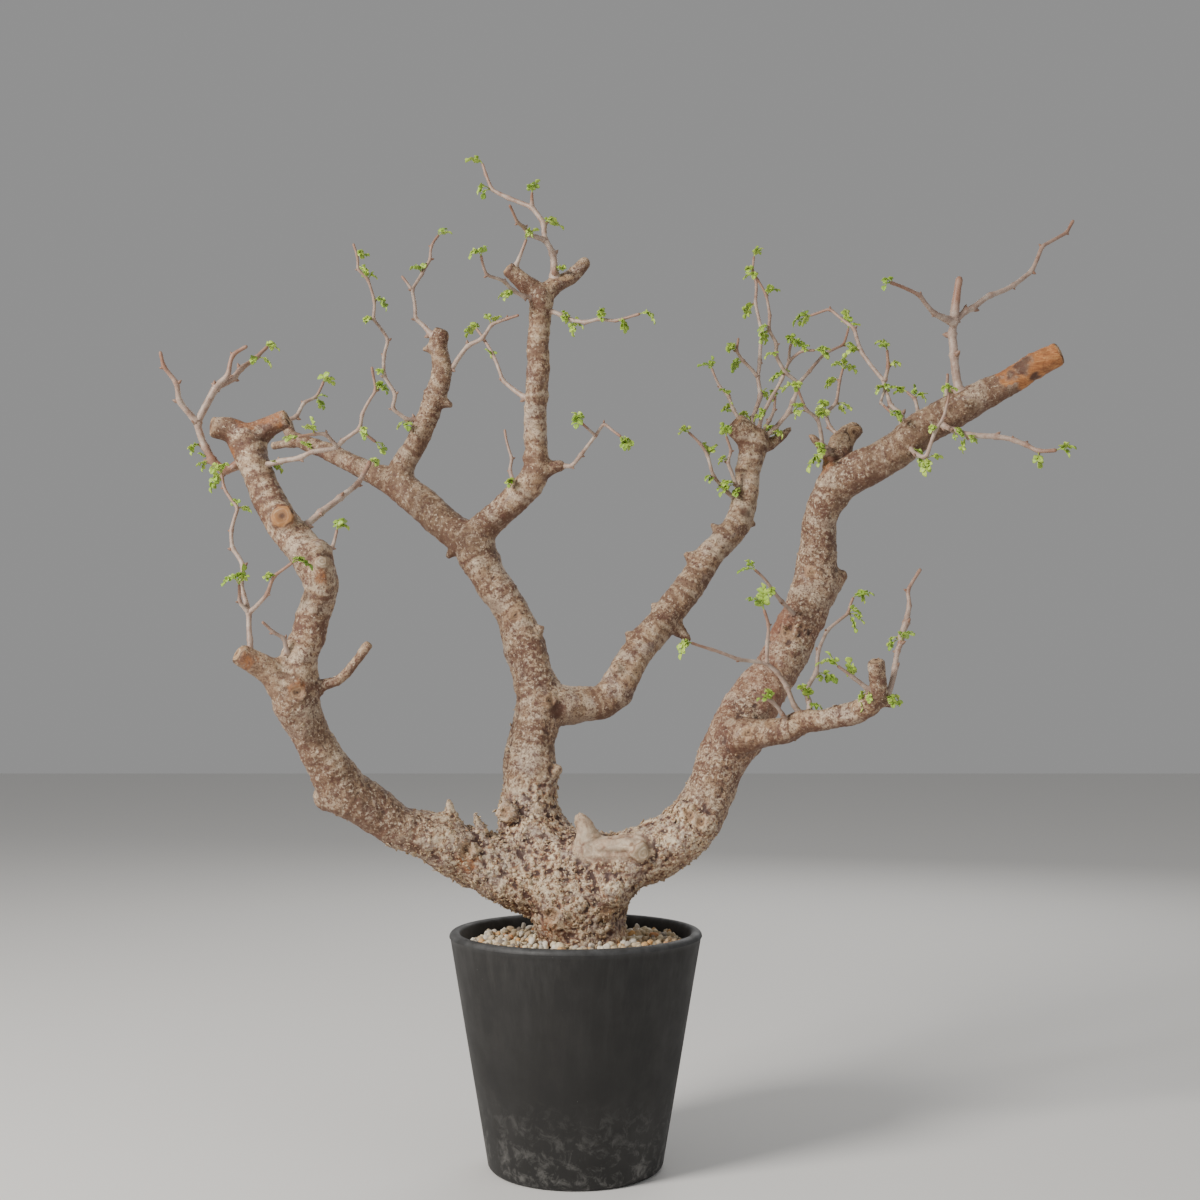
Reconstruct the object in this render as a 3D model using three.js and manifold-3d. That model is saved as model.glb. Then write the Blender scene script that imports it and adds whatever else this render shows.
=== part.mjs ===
// Potted caudex plant: a hard-pruned old tree with a swollen base, zigzag young shoots and
// small new leaves, in a round tapered pot topped with gravel.
// Units are millimetres, +Z is up and the front faces -Y.
// The origin is the centre of the pot's base, on the surface that the pot stands on.

import * as THREE from 'three';
import { mergeVertices } from 'three/addons/utils/BufferGeometryUtils.js';
import Module from 'manifold-3d';

const wasm = await Module();
wasm.setup();

// ---------------------------------------------------------------- driving dimensions

const POT_HEIGHT = 220;
const RIM_RADIUS = 120;
const BASE_RADIUS = 82;
const POT_WALL = 10.5;
const POT_FLOOR = 9;
const FOOT_ROUNDING = 6;
const LIP_ROUNDING = 4.5;
const FLOOR_CHAMFER_WIDTH = 4;
const FLOOR_CHAMFER_HEIGHT = 5;
const POT_SEGMENTS = 44;

const DRAIN_HOLE_COUNT = 3;
const DRAIN_HOLE_RADIUS = 12.5;
const DRAIN_HOLE_CIRCLE = 42;
const NET_RADIUS = 60;
const NET_THICKNESS = 1.2;

const GAP = 0.4;
const GRAVEL_TOP = 209;
const GRAVEL_DEPTH = 12;
const GRAVEL_MOUND = 4;
const GRAVEL_BUMP = 1.6;
const GRAVEL_RINGS = 9;
const GRAVEL_SIDES = 36;

const LIMB_STEP = 24;
const SPUR_STEP = 12;
const STUB_SIDES = 7;
const SHOOT_SIDES = 5;
const SHOOT_BASE_RADIUS = 2.6;
const SHOOT_TIP_RADIUS = 1.3;

// ---------------------------------------------------------------- the old wood
// Each limb is a run of stations [x, y, z, radius]. 'cut' ends in a saw cut, 'round' in healed
// bark and 'dry' in a dead point.

const LIMBS = [
  { name: 'root crown', sides: 12, end: 'round', stations: [
    [4, 2, 118, 24], [6, 2, 150, 36], [8, 0, 190, 42], [8, 0, 212, 42], [2, 0, 236, 48],
    [4, 0, 264, 48], [6, 0, 282, 40]] },

  { name: 'left limb', sides: 11, end: 'round', stations: [
    [-5, 0, 262, 42], [-42, -6, 270, 36], [-72, -12, 280, 30], [-104, -20, 293, 25],
    [-133, -31, 311, 24], [-163, -41, 321, 20], [-188, -51, 340, 20], [-212, -60, 353, 22],
    [-226, -70, 380, 19], [-239, -80, 407, 18], [-251, -90, 435, 22], [-248, -95, 480, 15.5],
    [-239, -97, 498, 15], [-236, -98, 516, 15.5], [-229, -100, 532, 15], [-228, -99, 547, 17],
    [-236, -96, 564, 18], [-255, -88, 585, 15.5], [-270, -80, 604, 15], [-292, -70, 642, 14.5],
    [-299, -66, 659, 15], [-305, -61, 680, 18]] },
  { name: 'left head, snout', sides: 8, end: 'cut', stations: [
    [-303, -60, 680, 15], [-322, -67, 690, 11.5], [-336, -72, 691, 10]] },
  { name: 'left head, right stub', sides: 8, end: 'cut', stations: [
    [-302, -61, 682, 14], [-283, -66, 693, 9.5], [-267, -68, 700, 8.5]] },
  { name: 'left fork, sawn stub', sides: 8, end: 'cut', stations: [
    [-251, -90, 440, 20], [-271, -104, 464, 13], [-298, -119, 480, 9.5]] },
  { name: 'left elbow knob', sides: 9, end: 'round', stations: [
    [-236, -96, 556, 17], [-233, -97, 573, 15]] },
  { name: 'left oval scar', sides: 10, end: 'cut', stations: [
    [-266, -82, 600, 13], [-264, -101, 605, 11]] },
  { name: 'left limb, old thorn', sides: 7, end: 'dry', stations: [
    [-110, -22, 300, 13], [-116, -27, 324, 8], [-119, -29, 344, 3]] },
  { name: 'left limb, cut twig', sides: 7, end: 'cut', stations: [
    [-244, -90, 432, 9], [-228, -90, 453, 6], [-214, -92, 456, 5], [-200, -96, 470, 4.5],
    [-184, -101, 490, 4.5]] },
  { name: 'base, dead spurs', sides: 7, end: 'dry', stations: [
    [-84, -18, 298, 10], [-89, -28, 318, 6], [-94, -33, 331, 3]] },

  { name: 'centre trunk', sides: 11, end: 'round', stations: [
    [-14, 4, 268, 42], [-44, 10, 313, 34], [-46, 14, 342, 26.5], [-45, 18, 371, 25],
    [-44, 22, 395, 24.5], [-39, 27, 419, 23], [-34, 30, 438, 24], [-44, 35, 466, 20],
    [-51, 39, 488, 20], [-57, 43, 507, 18.5], [-65, 46, 526, 18], [-75, 49, 543, 19],
    [-86, 53, 559, 18], [-98, 57, 581, 20.5], [-104, 60, 602, 19]] },
  { name: 'centre trunk, right spur', sides: 7, end: 'round', stations: [
    [-40, 14, 362, 16], [-20, 6, 371, 7]] },
  { name: 'horn', sides: 8, end: 'dry', stations: [
    [16, -14, 282, 22], [14, -27, 302, 15], [10, -34, 317, 9.5], [6, -37, 328, 6]] },
  { name: 'smooth ridge', sides: 8, end: 'round', stations: [
    [12, -24, 296, 15], [30, -36, 302, 11], [46, -42, 303, 10], [58, -44, 300, 10]] },

  { name: 'left centre branch', sides: 10, end: 'cut', stations: [
    [-101, 59, 590, 18], [-129, 68, 612, 17], [-150, 77, 631, 17], [-166, 83, 644, 17],
    [-184, 90, 659, 16], [-204, 95, 667, 12.5], [-223, 101, 677, 10.5], [-260, 112, 696, 9],
    [-285, 118, 706, 8], [-301, 122, 714, 7], [-307, 124, 731, 7]] },
  { name: 'left centre branch, low stub', sides: 7, end: 'cut', stations: [
    [-290, 119, 708, 6], [-307, 124, 706, 4.8], [-322, 126, 704, 4.5]] },
  { name: 'left centre riser', sides: 8, end: 'cut', stations: [
    [-182, 89, 660, 15], [-180, 86, 674, 13.5], [-166, 82, 698, 11.5], [-159, 79, 713, 12],
    [-151, 76, 731, 10.5], [-143, 72, 752, 11], [-137, 67, 776, 10.5], [-140, 64, 791, 9.5],
    [-141, 62, 801, 10], [-137, 60, 812, 8.5]] },

  { name: 'right centre branch', sides: 10, end: 'round', stations: [
    [-104, 60, 594, 17], [-93, 56, 612, 15.5], [-77, 52, 625, 14.5], [-47, 44, 653, 14],
    [-39, 40, 669, 14], [-40, 36, 686, 12], [-41, 26, 724, 11.5], [-39, 20, 747, 11],
    [-37, 15, 767, 11], [-38, 10, 786, 10.5], [-36, 5, 805, 10.5], [-34, 0, 825, 12],
    [-35, 0, 834, 12]] },
  { name: 'right centre branch, left stub', sides: 8, end: 'cut', stations: [
    [-34, 0, 831, 11], [-50, -4, 843, 9], [-67, -8, 857, 7.5]] },
  { name: 'right centre branch, right stub', sides: 8, end: 'round', stations: [
    [-35, 0, 832, 11], [-19, 4, 845, 8.5], [-6, 8, 852, 8], [8, 12, 868, 6.5]] },
  { name: 'right centre branch, elbow spur', sides: 7, end: 'round', stations: [
    [-40, 41, 664, 10], [-16, 36, 671, 6]] },

  { name: 'middle limb', sides: 10, end: 'round', stations: [
    [-36, 30, 430, 20], [-16, 34, 433, 20], [3, 41, 433, 17.5], [23, 47, 435, 17],
    [38, 54, 447, 17], [58, 67, 483, 16.5], [86, 81, 517, 16], [100, 88, 535, 15.5],
    [123, 100, 566, 14.5], [137, 106, 588, 14.5], [166, 117, 620, 14], [177, 127, 658, 12.5],
    [179, 132, 680, 13], [185, 137, 700, 15], [187, 140, 714, 15]] },
  { name: 'middle limb, stump', sides: 8, end: 'cut', stations: [
    [187, 139, 710, 15], [165, 132, 729, 13]] },
  { name: 'middle limb, dry spur', sides: 7, end: 'dry', stations: [
    [188, 141, 706, 10], [206, 144, 710, 6.5], [225, 150, 726, 3.5]] },
  { name: 'middle limb, pale spur', sides: 7, end: 'round', stations: [
    [96, 86, 518, 10], [106, 84, 506, 6], [113, 84, 499, 3.4]] },

  { name: 'right limb', sides: 11, end: 'round', stations: [
    [10, 0, 262, 44], [30, -9, 278, 36], [51, -20, 288, 29], [75, -24, 298, 27],
    [96, -28, 308, 25.5], [112, -26, 325, 24.5], [131, -23, 363, 23.5], [138, -22, 382, 24],
    [151, -20, 405, 26.5], [164, -12, 427, 25], [190, 2, 463, 22], [205, 10, 485, 22],
    [224, 15, 528, 21], [233, 18, 548, 21], [235, 20, 565, 19.5], [236, 14, 589, 18],
    [236, 9, 608, 17.5], [240, 5, 625, 18], [248, 0, 642, 19.5], [255, -6, 652, 18]] },
  { name: 'right limb, hooked stub', sides: 8, end: 'cut', stations: [
    [252, -2, 648, 14.5], [254, 4, 667, 13.5], [259, 10, 690, 12], [275, 14, 705, 8.5]] },
  { name: 'right limb, dry stub', sides: 7, end: 'dry', stations: [
    [250, 0, 664, 8], [240, -2, 681, 5.5], [228, -4, 693, 3.5]] },
  { name: 'right limb, shoulder', sides: 8, end: 'round', stations: [
    [238, 19, 546, 21], [250, 20, 555, 14], [260, 20, 560, 6.5]] },
  { name: 'right arm', sides: 10, end: 'cut', stations: [
    [248, -3, 644, 17], [275, -15, 659, 18.5], [308, -24, 679, 18], [341, -34, 703, 17],
    [359, -38, 713, 16], [377, -42, 722, 14.5], [411, -50, 739, 13], [427, -54, 750, 13],
    [452, -60, 762, 11.5]] },
  { name: 'low right branch', sides: 10, end: 'cut', stations: [
    [146, -20, 402, 20], [158, -45, 406, 16.5], [175, -57, 408, 13], [193, -70, 411, 12.5],
    [207, -83, 420, 11], [223, -95, 421, 9.5], [251, -115, 428, 10.5], [261, -125, 436, 10.5],
    [268, -131, 446, 9.5], [266, -135, 458, 7.8], [264, -141, 473, 8.2]] },
];

// Healed lumps, mostly on the swollen base: [x, y, z, radius].
const LUMPS = [
  [-64, -14, 332, 11], [60, -30, 300, 16], [-20, -28, 262, 22], [34, -34, 262, 20],
  [-60, 6, 284, 18], [18, 34, 262, 22], [-36, 34, 268, 20], [-228, -58, 350, 14],
  [122, -44, 324, 11],
];

// Short stubs of pruned shoots, each out of the limb nearest to its tip: [x, y, z, tip radius].
const STUBS = [
  [-129, 59, 582, 3.4], [-34, 34, 509, 3.6], [38, 42, 470, 4.5], [50, 72, 505, 3.2],
  [76, 84, 535, 2.8], [113, 103, 588, 4.2], [139, 114, 620, 2.6], [184, 122, 621, 3],
  [-52, 36, 677, 3.4], [-129, 72, 738, 3.6], [-154, 74, 752, 4], [-155, 66, 794, 3],
  [279, -126, 435, 3],
];

// ---------------------------------------------------------------- the young shoots
// Each shoot is a zigzag of straight internodes [x, y, z] from the bark outwards. Its side
// shoots start at one of its own points.

const SHOOTS = [
  { name: 'left_arm', base: 5, tip: 3.2, main: [
    [-318, -62, 657], [-326, -63, 651], [-337, -65, 661], [-343, -67, 673], [-349, -70, 695]],
    sides: [
      [[-349, -70, 695], [-356, -72, 701], [-365, -78, 714], [-366, -82, 730], [-377, -87, 744],
        [-379, -90, 755]],
      [[-349, -70, 695], [-337, -64, 727], [-330, -65, 734], [-323, -64, 741], [-320, -61, 761],
        [-309, -60, 768]],
      [[-337, -64, 727], [-320, -54, 740], [-315, -50, 750], [-301, -44, 762], [-294, -38, 772]]] },
  { name: 'left_head', main: [
    [-285, -66, 692], [-275, -57, 697], [-262, -49, 704], [-257, -42, 719], [-246, -37, 725],
    [-241, -30, 740]] },
  { name: 'left_mid', base: 3, main: [
    [-296, -70, 650], [-284, -74, 655], [-271, -78, 658], [-251, -84, 660], [-239, -88, 666],
    [-215, -95, 668], [-211, -97, 674], [-194, -104, 684], [-192, -107, 696], [-178, -114, 717],
    [-181, -120, 735]],
    sides: [
      [[-215, -95, 668], [-225, -101, 680], [-235, -105, 679], [-247, -110, 676]],
      [[-194, -104, 684], [-182, -98, 674]]] },
  { name: 'left_low', base: 4, tip: 2.2, main: [
    [-250, -86, 594], [-234, -76, 611], [-218, -64, 626], [-204, -52, 640], [-195, -40, 661]] },
  { name: 'left_knob', main: [[-226, -94, 572], [-219, -94, 577], [-217, -88, 592]] },
  { name: 'left_whip', base: 3, main: [
    [-288, -112, 482], [-289, -112, 493], [-291, -107, 516], [-301, -101, 545], [-299, -98, 560],
    [-310, -94, 576], [-312, -91, 593], [-307, -87, 614], [-322, -82, 634], [-324, -80, 645]],
    sides: [
      [[-291, -107, 516], [-272, -120, 534], [-265, -128, 549], [-249, -135, 559]],
      [[-291, -107, 516], [-299, -114, 527], [-298, -118, 540]]] },
  { name: 'left_fork', main: [
    [-258, -98, 468], [-257, -108, 482], [-258, -114, 494], [-267, -120, 499], [-274, -126, 507]] },

  { name: 'riser_left', base: 2.4, main: [
    [-160, 79, 718], [-168, 74, 725], [-173, 72, 722], [-188, 68, 733], [-184, 64, 748],
    [-195, 60, 765], [-195, 56, 785], [-190, 52, 800], [-205, 46, 820], [-203, 42, 838],
    [-209, 38, 858], [-219, 34, 867], [-219, 31, 881], [-222, 29, 890]] },
  { name: 'riser_top', base: 3, main: [
    [-142, 62, 804], [-152, 62, 811], [-165, 66, 825], [-169, 72, 856], [-179, 75, 870]],
    sides: [
      [[-169, 72, 856], [-160, 81, 875], [-152, 89, 893], [-152, 95, 908], [-146, 100, 920]]] },
  { name: 'riser_right', base: 3, main: [
    [-135, 67, 767], [-127, 65, 774], [-110, 57, 796], [-95, 52, 802], [-86, 47, 815],
    [-70, 43, 820], [-60, 40, 822]] },
  { name: 'centre_left', main: [
    [-46, 26, 732], [-54, 28, 739], [-74, 37, 756], [-83, 47, 781], [-94, 56, 801],
    [-101, 60, 812]] },
  { name: 'elbow_right', main: [
    [-16, 36, 671], [-5, 32, 669], [4, 24, 679], [19, 10, 696], [27, 7, 708], [42, 2, 695]],
    sides: [
      [[19, 10, 696], [6, -2, 706]]] },
  { name: 'elbow_left', main: [
    [-60, 44, 644], [-63, 40, 655], [-67, 46, 666], [-65, 52, 680], [-73, 62, 709]] },
  { name: 'crown_main', base: 4, main: [
    [-25, 2, 840], [-20, 3, 861], [-23, 6, 875], [-30, 9, 890], [-32, 13, 907], [-44, 17, 925],
    [-68, 22, 936], [-85, 26, 946], [-91, 29, 962], [-94, 31, 972]],
    sides: [
      [[-44, 17, 925], [-44, 10, 936]],
      [[-30, 9, 890], [-47, -5, 891], [-50, -10, 897], [-57, -17, 899], [-63, -30, 911]]] },
  { name: 'crown_stub', main: [[-60, -7, 852], [-58, -9, 862], [-49, -14, 882]] },
  { name: 'crown_left', main: [
    [-42, -4, 829], [-50, -12, 828], [-61, -20, 832], [-68, -27, 839], [-85, -38, 842],
    [-89, -50, 856]] },
  { name: 'crown_right', main: [
    [-26, -2, 818], [-15, -5, 812], [-7, -8, 807], [9, -15, 802], [22, -22, 804],
    [38, -30, 800], [59, -40, 804]] },

  { name: 'middle_left_a', main: [
    [166, 124, 646], [156, 118, 654], [141, 112, 670], [135, 108, 691], [127, 104, 703],
    [116, 100, 713]] },
  { name: 'middle_left_b', main: [
    [170, 122, 655], [164, 112, 662], [155, 106, 684], [159, 102, 695], [154, 98, 708]] },
  { name: 'stump_left', main: [
    [178, 140, 722], [172, 150, 736], [166, 156, 748], [162, 160, 762], [152, 167, 775],
    [145, 176, 795]] },
  { name: 'middle_tall', base: 3, main: [
    [185, 144, 722], [186, 150, 738], [195, 154, 762], [193, 157, 783], [195, 161, 802],
    [198, 168, 835], [192, 177, 869], [194, 184, 895], [190, 186, 906], [192, 190, 922]],
    sides: [
      [[193, 157, 783], [176, 148, 799], [168, 143, 809], [170, 140, 820]]] },
  { name: 'middle_front', base: 2.8, main: [
    [190, 132, 720], [194, 126, 738], [203, 124, 755], [214, 119, 774], [221, 114, 791],
    [222, 110, 807]],
    sides: [
      [[221, 114, 791], [234, 105, 801], [244, 100, 800]]] },
  { name: 'middle_back', main: [
    [196, 144, 716], [204, 152, 736], [210, 159, 748], [212, 167, 763]] },
  { name: 'middle_right', base: 3, main: [
    [199, 139, 713], [208, 136, 724], [222, 126, 740], [225, 119, 750], [230, 111, 767],
    [216, 104, 777], [205, 98, 795], [206, 94, 805], [197, 89, 819], [198, 85, 832],
    [194, 80, 852], [184, 76, 869]],
    sides: [
      [[230, 111, 767], [243, 117, 782], [260, 126, 802], [281, 134, 813], [287, 140, 831]]] },

  { name: 'hook_left', main: [
    [240, -2, 668], [237, -12, 682], [231, -24, 707], [219, -31, 714], [211, -40, 730]] },
  { name: 'hook_back', main: [
    [262, 14, 694], [250, 24, 706], [246, 28, 722], [258, 34, 733], [262, 40, 756],
    [266, 46, 768]] },
  { name: 'right_high', base: 3.2, main: [
    [313, -24, 684], [314, -14, 702], [314, -9, 714], [305, -2, 723], [302, 12, 750],
    [282, 32, 785], [278, 44, 810], [271, 49, 817], [256, 60, 834], [239, 66, 829]],
    sides: [
      [[302, 12, 750], [305, 7, 764], [303, 2, 777]],
      [[302, 12, 750], [295, -3, 727], [297, -44, 710]]] },
  { name: 'right_fork', base: 4.8, tip: 3.2, main: [
    [364, -40, 720], [362, -40, 736], [358, -42, 765], [358, -43, 793], [362, -43, 809],
    [363, -44, 834]],
    sides: [
      [[358, -42, 784], [352, -50, 794], [336, -60, 800], [320, -73, 814], [291, -90, 821]],
      [[358, -43, 796], [370, -39, 808], [378, -35, 811], [397, -26, 826], [422, -16, 838],
        [443, -6, 855], [456, 4, 882], [484, 15, 899], [491, 20, 911]]] },
  { name: 'right_low', main: [
    [317, -36, 678], [318, -54, 668], [327, -58, 664], [335, -64, 690], [342, -66, 700],
    [347, -70, 722]] },
  { name: 'right_long', base: 3.2, tip: 1.8, main: [
    [343, -44, 697], [353, -60, 690], [366, -66, 684], [389, -72, 682], [404, -78, 678],
    [414, -82, 673], [424, -87, 666], [436, -92, 666]] },
  { name: 'right_back', main: [[330, -20, 700], [330, -12, 712], [329, 0, 731], [324, 8, 738]] },
  { name: 'right_bud', main: [[352, -32, 716], [354, -24, 736], [357, -18, 750]] },

  { name: 'low_tall', base: 2.8, main: [
    [206, -82, 422], [199, -86, 434], [192, -92, 451], [183, -96, 464], [173, -100, 472],
    [173, -104, 491], [174, -108, 506], [170, -112, 518]],
    sides: [
      [[173, -100, 472], [147, -111, 475], [122, -122, 484], [105, -130, 489]]] },
  { name: 'low_left', main: [[196, -74, 418], [188, -88, 426], [178, -94, 438], [162, -102, 444]] },
  { name: 'low_curl', base: 2.8, main: [
    [213, -86, 424], [213, -82, 438], [210, -78, 447], [221, -74, 464], [223, -72, 484],
    [232, -68, 503], [253, -62, 519], [257, -60, 532]] },
  { name: 'low_tip', main: [
    [263, -126, 438], [258, -134, 449], [244, -140, 459], [231, -146, 468]] },
  { name: 'low_dead', base: 3.2, tip: 2.6, main: [
    [272, -130, 440], [279, -128, 446], [285, -118, 468], [288, -112, 482], [301, -104, 509]],
    sides: [
      [[288, -112, 482], [293, -108, 498], [296, -104, 511], [302, -99, 524], [301, -95, 538],
        [313, -90, 556]]] },
  { name: 'limb_left', main: [[210, -6, 520], [196, -20, 532], [186, -28, 543], [170, -38, 560]] },
];

// ---------------------------------------------------------------- the largest young leaves
// Each leaf starts at point `at` of run `run` of a shoot (run 0 is its main run), and reaches
// `length` along `toward`.

const LEAVES = [
  { shoot: 'left_arm', run: 2, at: 5, toward: [0.3, -0.3, 1], length: 13 },
  { shoot: 'left_mid', run: 0, at: 7, toward: [0.2, -1, 0.5], length: 14 },
  { shoot: 'riser_left', run: 0, at: 13, toward: [-0.5, -0.5, 0.8], length: 13 },
  { shoot: 'riser_top', run: 1, at: 4, toward: [0.1, -0.4, 0.9], length: 12 },
  { shoot: 'riser_right', run: 0, at: 6, toward: [1, -0.4, 0.3], length: 14 },
  { shoot: 'crown_main', run: 0, at: 9, toward: [-0.4, -0.5, 0.4], length: 12 },
  { shoot: 'crown_left', run: 0, at: 5, toward: [-0.6, -0.5, 0.5], length: 18 },
  { shoot: 'crown_right', run: 0, at: 6, toward: [1, -0.2, 0.5], length: 16 },
  { shoot: 'elbow_right', run: 1, at: 1, toward: [-0.6, -0.7, 0.6], length: 14 },
  { shoot: 'middle_right', run: 0, at: 8, toward: [-0.6, -1, -0.2], length: 13 },
  { shoot: 'middle_right', run: 1, at: 4, toward: [0.2, -0.3, 1], length: 13 },
  { shoot: 'right_high', run: 0, at: 8, toward: [0.1, -0.6, 1], length: 16 },
  { shoot: 'right_low', run: 0, at: 4, toward: [-0.5, -1, 0.3], length: 15 },
  { shoot: 'low_dead', run: 1, at: 5, toward: [0.4, -0.2, 1], length: 15 },
  { shoot: 'limb_left', run: 0, at: 3, toward: [-0.6, -0.4, 0.8], length: 13 },
];
const LEAF_STALK_RADIUS = 0.8;
const LEAF_WIDTH = 0.36;
const LEAF_THICKNESS = 1.3;
const LEAF_LEAFLET_PAIRS = 2;

// ---------------------------------------------------------------- materials

const material = (colour, roughness) =>
  new THREE.MeshStandardMaterial({ color: colour, roughness, metalness: 0 });

const MATERIALS = {
  pot: material('#2e2d2c', 0.62),
  net: material('#20211f', 0.7),
  mix: material('#4a3828', 0.95),
  gravel: material('#d3c7b0', 0.85),
  bark: material('#a98f7b', 0.9),
  shoot: material('#a58d80', 0.75),
  leaf: material('#86a63c', 0.6),
};

// ---------------------------------------------------------------- solids and booleans

/** Turns a closed geometry into a solid that can be joined and cut. */
function toSolid(geometry) {
  const bare = geometry.clone();
  bare.deleteAttribute('normal');
  bare.deleteAttribute('uv');
  const merged = mergeVertices(bare, 1e-4);
  return new wasm.Manifold(new wasm.Mesh({
    numProp: 3,
    vertProperties: new Float32Array(merged.attributes.position.array),
    triVerts: new Uint32Array(merged.index.array),
  }));
}

/** Turns a solid back into a geometry with flat facets. */
function toGeometry(solid) {
  const mesh = solid.getMesh();
  const geometry = new THREE.BufferGeometry();
  geometry.setAttribute('position', new THREE.BufferAttribute(mesh.vertProperties, 3));
  geometry.setIndex(new THREE.BufferAttribute(mesh.triVerts, 1));
  geometry.computeVertexNormals();
  return geometry;
}

const join = (solids) => solids.reduce((whole, solid) => whole.add(solid));

/** Closes a run of rings, each of equal length, with a point at either end. */
function loft(rings, startPoint, endPoint) {
  const sides = rings[0].length;
  const positions = [startPoint, ...rings.flat(), endPoint].flatMap((point) => point.toArray());
  const last = rings.length * sides + 1;
  const index = [];
  for (let side = 0; side < sides; side += 1) {
    const next = (side + 1) % sides;
    index.push(0, 1 + next, 1 + side);
    for (let ring = 0; ring < rings.length - 1; ring += 1) {
      const low = 1 + ring * sides;
      const high = low + sides;
      index.push(low + side, low + next, high + next);
      index.push(low + side, high + next, high + side);
    }
    index.push(last, last - sides + side, last - sides + next);
  }
  const geometry = new THREE.BufferGeometry();
  geometry.setAttribute('position', new THREE.Float32BufferAttribute(positions, 3));
  geometry.setIndex(index);
  return geometry;
}

/** The points of one ring round `centre`, across `tangent`, on the axes that `frame` carries on. */
function ringAt(centre, frame, radiusAt, sides) {
  return Array.from({ length: sides }, (_, side) => {
    const angle = (side / sides) * 2 * Math.PI;
    const radius = radiusAt(angle);
    return centre.clone()
      .addScaledVector(frame.normal, Math.cos(angle) * radius)
      .addScaledVector(frame.binormal, Math.sin(angle) * radius);
  });
}

/** Carries a ring's axes on to the next tangent with the least turn. */
function carryFrame(frame, tangent) {
  const normal = frame.normal.clone()
    .addScaledVector(tangent, -frame.normal.dot(tangent))
    .normalize();
  return { normal, binormal: tangent.clone().cross(normal) };
}

/** Any pair of axes across a tangent. */
function firstFrame(tangent) {
  const helper = Math.abs(tangent.z) < 0.8 ? new THREE.Vector3(0, 0, 1) : new THREE.Vector3(0, 1, 0);
  const normal = helper.cross(tangent).normalize();
  return { normal, binormal: tangent.clone().cross(normal) };
}

// ---------------------------------------------------------------- the tree

/** Extra rings past a limb's last station: [distance along, share of the radius] in radii. */
const LIMB_ENDS = {
  cut: { rings: [[0.12, 0.9]], tip: 0.16 },
  round: { rings: [[0.35, 0.92], [0.65, 0.66]], tip: 0.85 },
  dry: { rings: [[0.9, 0.5]], tip: 1.4 },
};

/** A limb of old wood: a tapering, slightly lobed tube through its stations. */
function limbGeometry({ stations, sides, end }, clearance, seed) {
  const points = stations.map(([x, y, z]) => new THREE.Vector3(x, y, z));
  const curve = new THREE.CatmullRomCurve3(points, false, 'centripetal');
  const rings = [];
  let frame = firstFrame(curve.getTangent(0));
  let along = 0;
  const step = sides > 8 ? LIMB_STEP : SPUR_STEP;
  for (let span = 0; span < stations.length - 1; span += 1) {
    const length = points[span].distanceTo(points[span + 1]);
    const cuts = Math.max(1, Math.round(length / step));
    const isLast = span === stations.length - 2;
    for (let cut = 0; cut < cuts + (isLast ? 1 : 0); cut += 1) {
      const share = cut / cuts;
      const t = (span + share) / (stations.length - 1);
      const radius = THREE.MathUtils.lerp(stations[span][3], stations[span + 1][3], share);
      frame = carryFrame(frame, curve.getTangent(t));
      const phase = seed + (along + share * length) * 0.045;
      const lobed = (angle) => clearance + radius
        * (1 + 0.05 * Math.sin(2 * angle + phase) + 0.03 * Math.sin(3 * angle - 2 * phase));
      rings.push(ringAt(curve.getPoint(t), frame, lobed, sides));
    }
    along += length;
  }
  const tipPoint = curve.getPoint(1);
  const tangent = curve.getTangent(1);
  const radius = stations[stations.length - 1][3] + clearance;
  const { rings: endRings, tip } = LIMB_ENDS[end];
  for (const [distance, share] of endRings) {
    const centre = tipPoint.clone().addScaledVector(tangent, distance * radius);
    rings.push(ringAt(centre, frame, () => share * radius, sides));
  }
  return loft(rings, curve.getPoint(0), tipPoint.clone().addScaledVector(tangent, tip * radius));
}

/** The point of the old wood's centre lines that is nearest to `point`. */
function nearestOnLimbs(point) {
  let nearest = null;
  for (const { stations } of LIMBS) {
    for (let span = 0; span < stations.length - 1; span += 1) {
      const line = new THREE.Line3(
        new THREE.Vector3(...stations[span]),
        new THREE.Vector3(...stations[span + 1]),
      );
      const centre = line.closestPointToPoint(point, true, new THREE.Vector3());
      const radius = (stations[span][3] + stations[span + 1][3]) / 2;
      const outside = centre.distanceTo(point) - radius;
      if (nearest === null || outside < nearest.outside) {
        nearest = { centre, radius, outside };
      }
    }
  }
  return nearest;
}

/** A healed lump. */
function lumpGeometry([x, y, z, radius], clearance) {
  return new THREE.SphereGeometry(radius + clearance, 9, 6).translate(x, y, z);
}

/** A short pointed stub, from inside the nearest limb out to its tip. */
function stubGeometry([x, y, z, tipRadius], clearance, seed) {
  const tip = new THREE.Vector3(x, y, z);
  const { centre, radius } = nearestOnLimbs(tip);
  const outward = tip.clone().sub(centre).normalize();
  const root = centre.clone().addScaledVector(outward, 0.4 * radius);
  const collar = centre.clone().addScaledVector(outward, 0.95 * radius);
  const stations = [
    [...root.toArray(), 3 * tipRadius],
    [...collar.toArray(), 2 * tipRadius],
    [...tip.toArray(), tipRadius],
  ];
  return limbGeometry({ stations, sides: STUB_SIDES, end: 'round' }, clearance, seed);
}

/** The whole of the old wood as one solid, or a copy of it that is larger by `clearance`. */
function treeSolid(clearance) {
  const limbs = LIMBS.map((limb, seed) => toSolid(limbGeometry(limb, clearance, seed)));
  const lumps = LUMPS.map((lump) => toSolid(lumpGeometry(lump, clearance)));
  const stubs = STUBS.map((stub, seed) => toSolid(stubGeometry(stub, clearance, seed)));
  return join([...limbs, ...lumps, ...stubs]);
}

// ---------------------------------------------------------------- the shoots

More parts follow.
